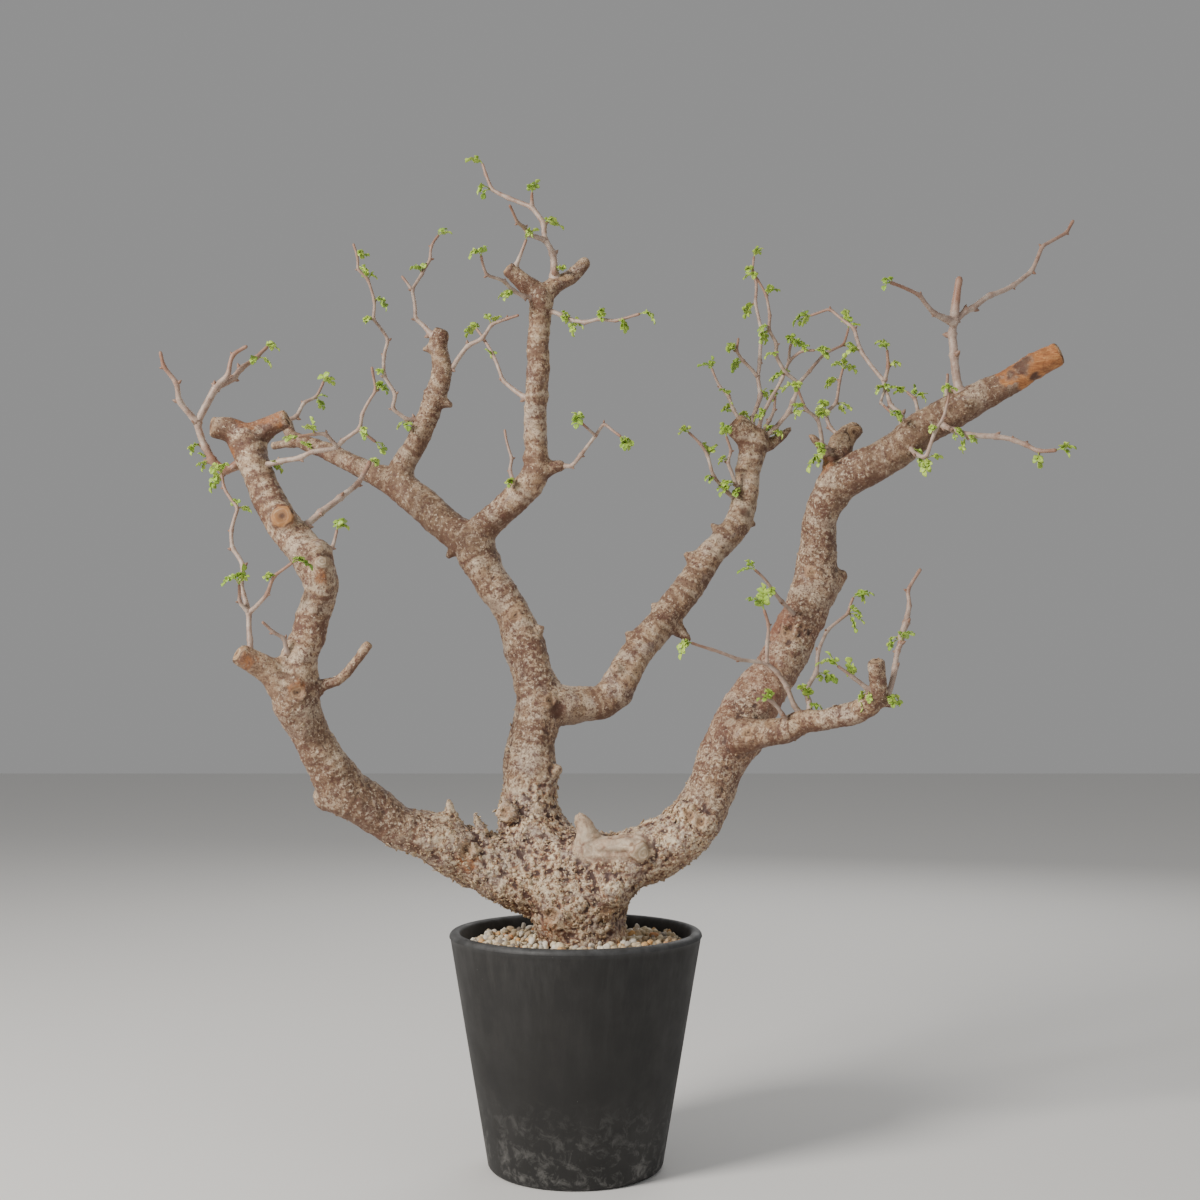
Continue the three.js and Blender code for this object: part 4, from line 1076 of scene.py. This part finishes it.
def bark_material():
    g = Graph("caudex_bark")
    old, grain, red = g.attribute("old"), g.attribute("grain"), g.attribute("red")
    proud, under = g.attribute("proud"), g.attribute("under")
    fine = g.noise(520, 6, 0.74)
    speckle = g.noise(250, 5, 0.70, 0.6)
    middling = g.noise(85, 6, 0.62, 0.5)
    broad = g.noise(24, 4, 0.60, 0.8)
    # Pale grey beige skin, tan and lilac in places.
    tone = g.ramp(middling, (0.34, (0.200, 0.112, 0.066)), (0.49, GREY_BEIGE), (0.65, PALE_GREY))
    tone = g.cover(tone, TAN, g.noise(37, 5, 0.6, 0.5), (0.52, 0.0), (0.66, 0.75))
    tone = g.cover(tone, LILAC_GREY, g.noise(31, 4, 0.6, 0.9), (0.56, 0.0), (0.68, 0.7))
    # Bands and blotches of brown; the extra brown under the limbs is painted shade.
    zone = g.add(broad, g.times(under, 0.16))
    blotch = g.ramp(g.add(zone, g.times(g.math("SUBTRACT", speckle, 0.5), 0.9)),
                    (0.51, 0.0), (0.66, 0.86))
    tone = g.mix(blotch, tone, (0.120, 0.055, 0.032))
    # Brown bands across the limbs, frayed by the speckle.
    frayed = g.add(g.attribute("band"), g.times(g.math("SUBTRACT", speckle, 0.5), 0.7))
    tone = g.cover(tone, (0.140, 0.064, 0.038), frayed, (0.53, 0.0), (0.72, 0.72))
    tone = g.cover(tone, (0.68, 0.55, 0.41), frayed, (0.26, 0.50), (0.42, 0.0))
    weathered = g.times(g.attribute("weathered"), g.ramp(middling, (0.40, 0.75), (0.62, 0.40)))
    tone = g.mix(weathered, tone, (0.165, 0.095, 0.052))
    # Red brown and purple specks everywhere, closer together in the granular bark.
    crowd = g.add(speckle, g.times(grain, 0.075))
    tone = g.cover(tone, RED_BROWN, crowd, (0.545, 0.0), (0.66, 0.72))
    tone = g.mix(g.ramp(g.add(fine, g.times(grain, 0.05)), (0.55, 0.0), (0.62, 0.85)),
                 tone, (0.080, 0.032, 0.022))
    cream = g.ramp(g.math("SUBTRACT", g.noise(330, 6, 0.72), g.times(grain, -0.05)),
                   (0.57, 0.0), (0.68, 0.9))
    tone = g.mix(cream, tone, g.mix(middling, CREAM, (0.74, 0.66, 0.54)))
    tone = g.mix(red, tone, g.mix(0.85, tone, (0.27, 0.105, 0.062)))
    # Old flaky bark: rust in the cracks, the deepest darkened to purple black as painted shade, cream on the
    # crests.
    flaky = g.ramp(proud, (0.20, DARK_PURPLE), (0.40, RUST), (0.53, TAN), (0.70, CREAM),
                   (0.92, (0.84, 0.70, 0.50)))
    flaky = g.cover(flaky, LILAC_GREY, g.noise(44, 5, 0.6, 0.7), (0.47, 0.0), (0.60, 0.75))
    flaky = g.cover(flaky, RED_BROWN, crowd, (0.56, 0.0), (0.63, 0.85))
    flaky = g.cover(flaky, (0.36, 0.16, 0.07), g.noise(27, 4, 0.6, 0.5), (0.58, 0.0), (0.68, 0.6))
    flaky = g.mix(cream, flaky, (0.84, 0.71, 0.52))
    tone = g.mix(g.times(old, 0.8), tone, flaky)
    # Painted shade: crevices darkened by their depth, more in the granular bark.
    crevice_shade = g.times(g.ramp(proud, (0.14, 1.0), (0.40, 0.0)),
                   g.ramp(grain, (0.0, 0.35), (1.0, 0.9)))
    tone = g.mix(crevice_shade, tone, (0.060, 0.026, 0.020))
    # Painted shade: surfaces facing down are darkened towards brown.
    tone = g.mix(g.times(under, g.ramp(broad, (0.3, 0.55), (0.6, 0.95))), tone,
                 g.mix(0.80, tone, (0.130, 0.052, 0.026)))
    worn = g.times(g.attribute("orange"), g.ramp(speckle, (0.40, 0.95), (0.60, 0.25)))
    tone = g.mix(worn, tone, g.mix(middling, (0.44, 0.165, 0.048), (0.20, 0.070, 0.026)))
    stain = g.mix(speckle, (0.036, 0.013, 0.009), (0.150, 0.058, 0.032))
    soaked = g.times(g.attribute("dark"), g.ramp(middling, (0.35, 0.92), (0.65, 0.6)))
    tone = g.mix(soaked, tone, stain)
    silk = g.ramp(g.noise(130, 5, 0.65, 0.8), (0.36, (0.30, 0.175, 0.120)), (0.50, (0.62, 0.47, 0.34)),
                  (0.66, (0.80, 0.68, 0.52)))
    tone = g.mix(g.times(g.attribute("smooth"), 0.58), tone, silk)
    knot = g.attribute("knot")
    tone = g.cover(tone, (0.46, 0.29, 0.165), knot, (0.05, 0.0), (0.45, 0.75))
    tone = g.cover(tone, (0.050, 0.020, 0.014), knot, (0.55, 0.0), (0.85, 0.92))
    # Proud stubs: cream, with grey brown rings.
    face = g.ramp(g.math("SINE", g.times(g.attribute("stub_ring"), 17.0)),
                  (0.0, (0.45, 0.34, 0.225)), (0.6, (0.68, 0.56, 0.41)))
    face = g.cover(face, (0.36, 0.225, 0.135), middling, (0.42, 0.0), (0.62, 0.6))
    face = g.cover(face, (0.24, 0.125, 0.075), g.attribute("stub_ring"), (0.70, 0.0), (1.0, 0.6))
    tone = g.cover(tone, face, g.attribute("stub"), (0.25, 0.0), (0.6, 0.9))
    # Bare wood: orange tan with long grain.
    strands = g.noise(1, 6, 0.7, 1.2, g.stretched((60, 420, 420)))
    bare = g.ramp(strands, (0.30, (0.20, 0.066, 0.020)), (0.50, (0.43, 0.165, 0.052)),
                  (0.68, (0.60, 0.300, 0.115)))
    bare = g.cover(bare, (0.215, 0.080, 0.032), g.noise(48, 5, 0.6, 0.7), (0.48, 0.0), (0.66, 0.8))
    peeled = g.times(g.attribute("bare"), g.math("SUBTRACT", 1.0, g.attribute("dark")))
    tone = g.mix(peeled, tone, bare)
    # Sawn faces: tan wood with rings, a dark heart and rim, and weather checks.
    ring = g.attribute("ring")
    wood = g.ramp(g.math("SINE", g.times(ring, 26.0)), (0.0, (0.36, 0.215, 0.115)),
                  (1.0, (0.62, 0.46, 0.29)))
    wood = g.cover(wood, (0.22, 0.115, 0.058), g.noise(160, 6, 0.7), (0.45, 0.0), (0.65, 0.6))
    wood = g.mix(g.times(g.attribute("orange"), 0.75), wood,
                 g.mix(ring, (0.17, 0.062, 0.020), (0.60, 0.27, 0.085)))
    wood = g.mix(g.times(g.attribute("dark"), 0.75), wood, stain)
    wood = g.cover(wood, (0.085, 0.036, 0.020), ring, (0.12, 0.9), (0.42, 0.0))
    wood = g.cover(wood, (0.045, 0.020, 0.013), ring, (0.72, 0.0), (0.92, 0.92))
    tone = g.mix(g.attribute("cut"), tone, wood)
    rough = g.ramp(middling, (0.3, 0.60), (0.7, 0.82))
    relief = g.add(fine, g.times(g.noise(950, 4, 0.7), 0.4))
    normal = g.bump(g.add(relief, speckle), 0.6, 0.0012)
    return g.finish(tone, rough, normal)


def flake_material():
    g = Graph("bark_flakes")
    tone = g.attribute("tone")
    edge = g.attribute("edge")
    body = g.ramp(tone, (0.0, DARK_PURPLE), (0.18, RUST), (0.42, TAN), (0.70, (0.44, 0.31, 0.19)),
                  (0.9, (0.36, 0.19, 0.085)), (1.0, (0.30, 0.26, 0.22)))
    rim = g.ramp(tone, (0.0, TAN), (0.3, CREAM), (0.8, (0.66, 0.53, 0.37)), (1.0, (0.52, 0.45, 0.36)))
    colour = g.mix(g.ramp(edge, (0.35, 0.0), (0.95, 0.9)), body, rim)
    colour = g.cover(colour, (0.13, 0.060, 0.036), g.noise(520, 6, 0.7), (0.52, 0.0), (0.72, 0.6))
    return g.finish(colour, g.ramp(g.noise(200), (0.3, 0.6), (0.7, 0.82)),
                    g.bump(g.noise(900, 5, 0.7), 0.4, 0.0006))


# ------------------------------------------------------------------ the young shoots

THICK_SHOOTS = ("shoot_left_arm", "shoot_right_fork", "shoot_crown_main", "shoot_left_low")
REDDENED_SHOOT = "shoot_left_arm"
RING_EDGE = 4.3 * MM
THICK_RING_EDGE = 6.6 * MM
SHOOT_SIDES = 10
SHOOT_STEP = 2.6 * MM
SHOOT_ROOT = 4.5 * MM
SHOOT_RADII = (1.25 * MM, 5.2 * MM)
SHOOT_SLIMNESS = 0.94
# How a tip closes over its bud: reach past the last kink and share of its radius.
TIP_CLOSING = ((0.35, 1.02), (0.8, 0.92), (1.25, 0.62), (1.5, 0.25))


def head_of(parent, i):
    """The head of the group that i is in."""
    while parent[i] != i:
        i = parent[i]
    return i


def joined(count, pairs):
    """Which group each of count points belongs to, when these pairs hold together."""
    parent = list(range(count))
    for a, b in pairs:
        parent[head_of(parent, a)] = head_of(parent, b)
    return np.unique([head_of(parent, i) for i in range(count)], return_inverse=True)[1]


def shoot_skeleton(name, wood):
    """The kinks of a shoot: their places, radii and links, and the kink nearest the wood."""
    points, faces, edges = merged_node(name)
    lengths = np.linalg.norm(points[edges[:, 0]] - points[edges[:, 1]], axis=1)
    ring_edge = THICK_RING_EDGE if name in THICK_SHOOTS else RING_EDGE
    groups = joined(len(points), edges[lengths < ring_edge])
    count = groups.max() + 1
    sizes = np.bincount(groups)
    kinks = np.stack([np.bincount(groups, points[:, k]) for k in range(3)], axis=1) / sizes[:, None]
    gaps = np.linalg.norm(points - kinks[groups], axis=1)
    radii = np.array([np.median(gaps[groups == g]) for g in range(count)])
    links = {}
    for a, b in groups[edges]:
        if a != b:
            span = float(np.linalg.norm(kinks[a] - kinks[b]))
            links[(min(a, b), max(a, b))] = span
    # The shortest links that join every kink, so that no loop is left.
    tree_links = []
    parent = list(range(count))
    for a, b in sorted(links, key=links.get):
        if head_of(parent, a) != head_of(parent, b):
            parent[head_of(parent, a)] = head_of(parent, b)
            tree_links.append((a, b))
    reach = [wood.find_nearest(k.tolist())[3] for k in kinks]
    return kinks, radii, tree_links, int(np.argmin(reach))


def shoot_runs(kinks, links, root):
    """Runs of kinks from the root to each tip: the longest first, then those that part from it."""
    around = {i: [] for i in range(len(kinks))}
    for a, b in links:
        around[a].append(b)
        around[b].append(a)

    def longest(kink, source):
        best = (0.0, [kink])
        for other in around[kink]:
            if other != source:
                length, run = longest(other, kink)
                length += float(np.linalg.norm(kinks[kink] - kinks[other]))
                if length > best[0]:
                    best = (length, [kink] + run)
        return best

    runs, waiting = [], [(root, None)]
    while waiting:
        start, source = waiting.pop(0)
        run = longest(start, source)[1]
        runs.append(([source] if source is not None else []) + run)
        before = source
        for place, kink in enumerate(run):
            ahead = run[place + 1] if place + 1 < len(run) else None
            for other in around[kink]:
                if other not in (before, ahead):
                    waiting.append((other, kink))
            before = kink
    return runs


class Mesh:
    """Points, quads and per-point numbers gathered from many closed shells."""

    def __init__(self, *channels):
        self.points, self.faces, self.start = [], [], 0
        self.channels = {name: [] for name in channels}

    def add(self, points, faces, **channels):
        self.points.append(np.asarray(points))
        self.faces.append(np.asarray(faces) + self.start)
        self.start += len(points)
        for name, values in channels.items():
            self.channels[name].append(np.broadcast_to(values, len(points)))

    def piece(self, name):
        piece = mesh_piece(name, np.vstack(self.points), np.vstack(self.faces))
        for channel, values in self.channels.items():
            write_floats(piece, channel, np.concatenate(values))
        return piece


def frames_along(path):
    """Two directions across the path at each point, turning as little as they can."""
    ahead = unit(np.gradient(path, axis=0))
    side = np.cross(ahead[0], (0.0, 0.0, 1.0))
    if np.linalg.norm(side) < 0.1:
        side = np.cross(ahead[0], (1.0, 0.0, 0.0))
    sides = []
    for direction in ahead:
        side = unit(side - direction * (side @ direction))
        sides.append(side)
    sides = np.array(sides)
    return ahead, sides, np.cross(ahead, sides)


def tube(path, radii, sides, wobble=0.0):
    """A closed tube of quads, with flattened ends that taper to a small ring."""
    ahead, across, up = frames_along(path)
    angles = np.linspace(0, 2 * math.pi, sides, endpoint=False)
    ring = np.cos(angles)[None, :, None] * across[:, None] + np.sin(angles)[None, :, None] * up[:, None]
    uneven = 1 + wobble * rng.normal(size=(len(path), sides))
    points = path[:, None] + ring * (radii[:, None] * uneven)[..., None]
    caps = []
    last = (len(path) - 1) * sides
    for j in range(sides // 2 - 1):
        caps.append((sides - 1 - j, sides - 2 - j, j + 1, j))
        caps.append((last + j, last + j + 1, last + sides - 2 - j, last + sides - 1 - j))
    return points.reshape(-1, 3), np.vstack([ring_quads(len(path), sides), caps])


def run_path(corners, radii):
    """Dense points along a zigzag run with softened corners, their radii and how near a kink each is."""
    path, widths, nearness = [], [], []
    for k in range(len(corners) - 1):
        a, b = corners[k], corners[k + 1]
        span = np.linalg.norm(b - a)
        count = max(3, int(round(span / SHOOT_STEP)))
        bow = rng.normal(0, 0.018, 3) * span
        for t in np.arange(count) / count:
            path.append(a + (b - a) * t + bow * 4 * t * (1 - t))
            widths.append(radii[k] + (radii[k + 1] - radii[k]) * t)
            nearness.append(max(math.exp(-(t * span / (2.4 * MM)) ** 2),
                                math.exp(-((1 - t) * span / (2.4 * MM)) ** 2)))
    path.append(corners[-1])
    widths.append(radii[-1])
    nearness.append(0.3)
    path, widths, nearness = np.array(path), np.array(widths), np.array(nearness)
    for repeat in range(2):
        path[1:-1] = 0.5 * path[1:-1] + 0.25 * (path[:-2] + path[2:])
    return path, widths, nearness


def run_widths(radii):
    """Radii along a run. Near a parting a kink's ring is stretched, so a median takes its place."""
    widths = radii.copy()
    for k in range(1, len(radii) - 1):
        widths[k] = np.median(radii[k - 1:k + 2])
    return np.clip(widths, *SHOOT_RADII)


def add_run(mesh, corners, widths, order, reddened):
    """One run of a shoot as a closed tube with a blunt bud at its tip. Gives the tip's place,
    direction and radius."""
    path, width, near = run_path(corners, widths * SHOOT_SLIMNESS)
    swell = 1 + 0.30 * near
    ending = np.linspace(0, 1, len(path))
    young = np.clip(ending * 1.1 + 0.25 * order - 0.15, 0, 1)
    if reddened:
        young = np.maximum(young, 1 - step(0.20, 0.42, ending))
    width = width * swell
    ahead = unit(path[-1] - path[-2])
    tip_width = width[-1]
    extra = np.array([path[-1] + ahead * tip_width * reach for reach, _ in TIP_CLOSING])
    width = np.concatenate([width, [tip_width * share for _, share in TIP_CLOSING]])
    path = np.vstack([path, extra])
    young = np.concatenate([young, [1.0] * len(extra)])
    swell = np.concatenate([swell - 1, [0.3] * len(extra)])
    points, faces = tube(path, width, SHOOT_SIDES, 0.035)
    mesh.add(points, faces, young=np.repeat(young, SHOOT_SIDES), swell=np.repeat(swell, SHOOT_SIDES))
    return path[-1], ahead, tip_width


def make_shoots(material, wood):
    """The zigzag young wood, swollen at its kinks, with a bud at each of them."""
    mesh = Mesh("young", "swell")
    tips, kinks_seen = [], []
    names = [name for name in NODES if name.startswith("shoot_")]
    for name in names:
        kinks, radii, links, root = shoot_skeleton(name, wood)
        for order, run in enumerate(shoot_runs(kinks, links, root)):
            corners, widths = kinks[run], run_widths(radii[run])
            if order == 0:
                bark, outward = [np.array(v) for v in wood.find_nearest(corners[0].tolist())[:2]]
                corners = np.vstack([bark - outward * SHOOT_ROOT, corners])
                widths = np.concatenate([[widths[0] * 1.7], widths])
            reddened = name == REDDENED_SHOOT and order == 0
            tips.append((name, *add_run(mesh, corners, widths, order, reddened)))
            for k in range(1, len(corners) - 1):
                before, after = unit(corners[k] - corners[k - 1]), unit(corners[k + 1] - corners[k])
                outward = unit(before - after + rng.normal(0, 0.15, 3))
                share = k / (len(corners) - 1)
                kinks_seen.append((name, corners[k], outward, after, widths[k] * SHOOT_SLIMNESS, share))
                add_bud(mesh, corners[k], outward, after, widths[k], share)
    dress(mesh.piece("young_shoots"), material, "young_bark", *names)
    return tips, kinks_seen


def add_bud(mesh, place, outward, ahead, radius, young):
    """A small teardrop bud that leans along the shoot."""
    lean = unit(outward + 0.55 * ahead)
    size = radius * rng.uniform(0.75, 1.15)
    root = place + outward * radius * 0.7
    path = np.array([root + lean * size * t for t in (-0.5, 0.1, 0.55, 0.95, 1.3, 1.5)])
    widths = size * np.array([0.55, 0.66, 0.60, 0.42, 0.20, 0.06])
    points, faces = tube(path, widths, 8)
    mesh.add(points, faces, young=min(young + 0.35, 1.0), swell=0.9)


def young_bark_material():
    g = Graph("young_bark")
    young = g.attribute("young")
    swell = g.attribute("swell")
    skin = g.noise(110, 6, 0.65)
    tone = g.ramp(skin, (0.32, (0.27, 0.165, 0.120)), (0.5, (0.41, 0.295, 0.235)),
                  (0.68, (0.53, 0.43, 0.355)))
    tone = g.cover(tone, (0.66, 0.58, 0.48), g.noise(520, 5, 0.7), (0.56, 0.0), (0.72, 0.5))
    tip = g.mix(skin, (0.235, 0.088, 0.050), (0.36, 0.19, 0.115))
    tone = g.cover(tone, tip, young, (0.55, 0.0), (1.0, 0.75))
    tone = g.cover(tone, (0.225, 0.115, 0.070), swell, (0.12, 0.0), (0.8, 0.6))
    lines = g.noise(1, 4, 0.6, 1.0, g.stretched((120, 120, 500)))
    tone = g.cover(tone, (0.16, 0.085, 0.055), lines, (0.62, 0.0), (0.70, 0.5))
    return g.finish(tone, g.ramp(skin, (0.3, 0.42), (0.7, 0.62)), g.bump(g.noise(700, 5, 0.7), 0.3, 0.0006))


# ------------------------------------------------------------------ the new leaves

# How readily each shoot's kinks bear a tuft; a tip's share is higher.
LEAFINESS = {
    "left_arm": 0.45, "left_head": 0.5, "left_mid": 0.6, "left_low": 0.1, "left_knob": 0.4,
    "left_whip": 0.25, "left_fork": 0.5, "riser_left": 0.3, "riser_top": 0.4, "riser_right": 0.35,
    "centre_left": 0.3, "elbow_right": 0.5, "elbow_left": 0.3, "crown_main": 0.4, "crown_stub": 0.5,
    "crown_left": 0.5, "crown_right": 0.5, "middle_left_a": 0.35, "middle_left_b": 0.35,
    "stump_left": 0.4, "middle_tall": 0.35, "middle_front": 0.4, "middle_back": 0.4,
    "middle_right": 0.5, "hook_left": 0.45, "hook_back": 0.4, "right_high": 0.7, "right_fork": 0.08,
    "right_low": 0.6, "right_long": 0.5, "right_back": 0.5, "right_bud": 0.7, "low_tall": 0.45,
    "low_left": 0.5, "low_curl": 0.5, "low_tip": 0.5, "low_dead": 0.35, "limb_left": 0.6,
}
TIP_SHARE = 0.82
BARE_SHARE = 0.09
LEAFLET_GRID = (5, 4)


def add_leaflet(mesh, base, ahead, facing, length, age):
    """One rounded leaflet, cupped along its midrib, as a thin closed shell."""
    rows, columns = LEAFLET_GRID
    u, v = [a.ravel() for a in np.meshgrid(np.linspace(0, 1, rows), np.linspace(-1, 1, columns),
                                           indexing="ij")]
    side = unit(np.cross(facing, ahead))
    facing = unit(np.cross(ahead, side))
    wide = np.sqrt(np.clip(1 - (2 * u - 1.02) ** 2, 0.02, 1)) * (0.80 + 0.2 * u) * length * 0.5
    cup, droop = rng.uniform(0.3, 1.0), rng.uniform(-0.1, 0.75)
    rise = cup * v ** 2 * wide * 0.8 - droop * u ** 2 * length * 0.5
    sheet = (base + (u * length * (1 - 0.12 * droop))[:, None] * ahead + (v * wide)[:, None] * side
             + rise[:, None] * facing)
    points = np.vstack([sheet, sheet - facing * 0.28 * MM])
    mesh.add(points, shell_template(rows, columns), age=age, rib=np.tile(np.abs(v), 2),
             tint=rng.random())


def add_sprig(mesh, base, ahead, size):
    """A pinnate leaf still unfolding: a curved stalk with paired leaflets and one at its end."""
    up = np.array((0.0, 0.0, 1.0))
    ahead = unit(ahead)
    pairs = int(rng.integers(2, 5))
    spine = [base]
    direction = ahead
    sag = rng.uniform(0.20, 0.70)
    for joint in range(pairs + 1):
        spine.append(spine[-1] + direction * size * (0.38 if joint == 0 else 0.26))
        direction = unit(direction - up * sag + rng.normal(0, 0.10, 3))
    spine = np.array(spine)
    path = np.vstack([spine[:1] - ahead * 0.8 * MM, spine])
    points, faces = tube(path, np.linspace(0.55, 0.32, len(path)) * MM, 6)
    age = rng.random()
    mesh.add(points, faces, age=age * 0.5, rib=1.0, tint=0.2)
    for joint in range(1, len(spine)):
        along = unit(spine[joint] - spine[joint - 1])
        side = unit(np.cross(along, up + rng.normal(0, 0.25, 3)))
        facing = unit(np.cross(side, along))
        length = size * rng.uniform(0.42, 0.60)
        if joint == len(spine) - 1:
            add_leaflet(mesh, spine[joint], along, facing, length * 1.1, age)
        else:
            for turn in (-1, 1):
                aim = unit(side * turn + along * 0.55 + rng.normal(0, 0.15, 3) - up * 0.15)
                add_leaflet(mesh, spine[joint], aim, facing, length, age)


def add_tuft(mesh, place, ahead, outward, radius, size):
    """Two or three sprigs from one bud, drooping as they open."""
    for sprig in range(int(rng.integers(2, 4))):
        fan = unit(rng.normal(size=3))
        aim = unit(outward + 0.6 * ahead + 0.75 * fan + np.array((0.0, -0.12, 0.10)))
        add_sprig(mesh, place + unit(aim) * radius * 0.8, aim, size * rng.uniform(0.75, 1.2))


def make_leaves(material, tips, kinks_seen):
    mesh = Mesh("age", "rib", "tint")
    for name, place, ahead, radius in tips:
        share = LEAFINESS[name.removeprefix("shoot_")]
        if rng.random() < max(share, TIP_SHARE * (share > BARE_SHARE)):
            add_tuft(mesh, place - ahead * 0.6 * MM, ahead, ahead, radius * 0.5, rng.uniform(8.5, 12.5) * MM)
    for name, place, outward, ahead, radius, along in kinks_seen:
        share = LEAFINESS[name.removeprefix("shoot_")] * (0.35 + 0.9 * along)
        if rng.random() < share:
            add_tuft(mesh, place, ahead, outward, radius * 1.6, rng.uniform(7, 10.5) * MM)
    leaves = mesh.piece("young_leaves")
    dress(leaves, material, "leaf", *[name for name in NODES if name.startswith("leaf_")])


def leaf_material():
    g = Graph("young_leaf")
    tint, age, rib = g.attribute("tint"), g.attribute("age"), g.attribute("rib")
    veins = g.noise(420, 5, 0.6)
    tone = g.mix(tint, (0.33, 0.50, 0.060), (0.52, 0.68, 0.120))
    tone = g.cover(tone, (0.20, 0.38, 0.045), age, (0.0, 0.55), (0.5, 0.0))
    tone = g.cover(tone, (0.42, 0.50, 0.16), rib, (0.0, 0.45), (0.25, 0.0))
    tone = g.cover(tone, (0.19, 0.34, 0.045), veins, (0.45, 0.0), (0.7, 0.30))
    tone = g.cover(tone, (0.36, 0.26, 0.09), rib, (0.85, 0.0), (1.0, 0.25))
    g.shader.inputs["Subsurface Weight"].default_value = 0.12
    g.shader.inputs["Subsurface Radius"].default_value = (0.0015, 0.003, 0.0008)
    return g.finish(tone, g.ramp(veins, (0.3, 0.36), (0.7, 0.52)), g.bump(veins, 0.3, 0.0004))


# ------------------------------------------------------------------ the whole plant

make_camera()
make_floor()
make_lights()
make_pot(pot_material())
for node, material in (("drain_net", net_material()), ("potting_mix", soil_material())):
    NODES[node].data.materials.clear()
    NODES[node].data.materials.append(material)
make_gravel(gravel_material())
cad_points, cad_faces, _ = merged_node("caudex_tree")
wood = BVHTree.FromPolygons(cad_points.tolist(), cad_faces)
make_flakes(flake_material(), *make_tree(bark_material(), cad_points, cad_faces, wood))
shoot_tips, shoot_kinks = make_shoots(young_bark_material(), wood)
make_leaves(leaf_material(), shoot_tips, shoot_kinks)
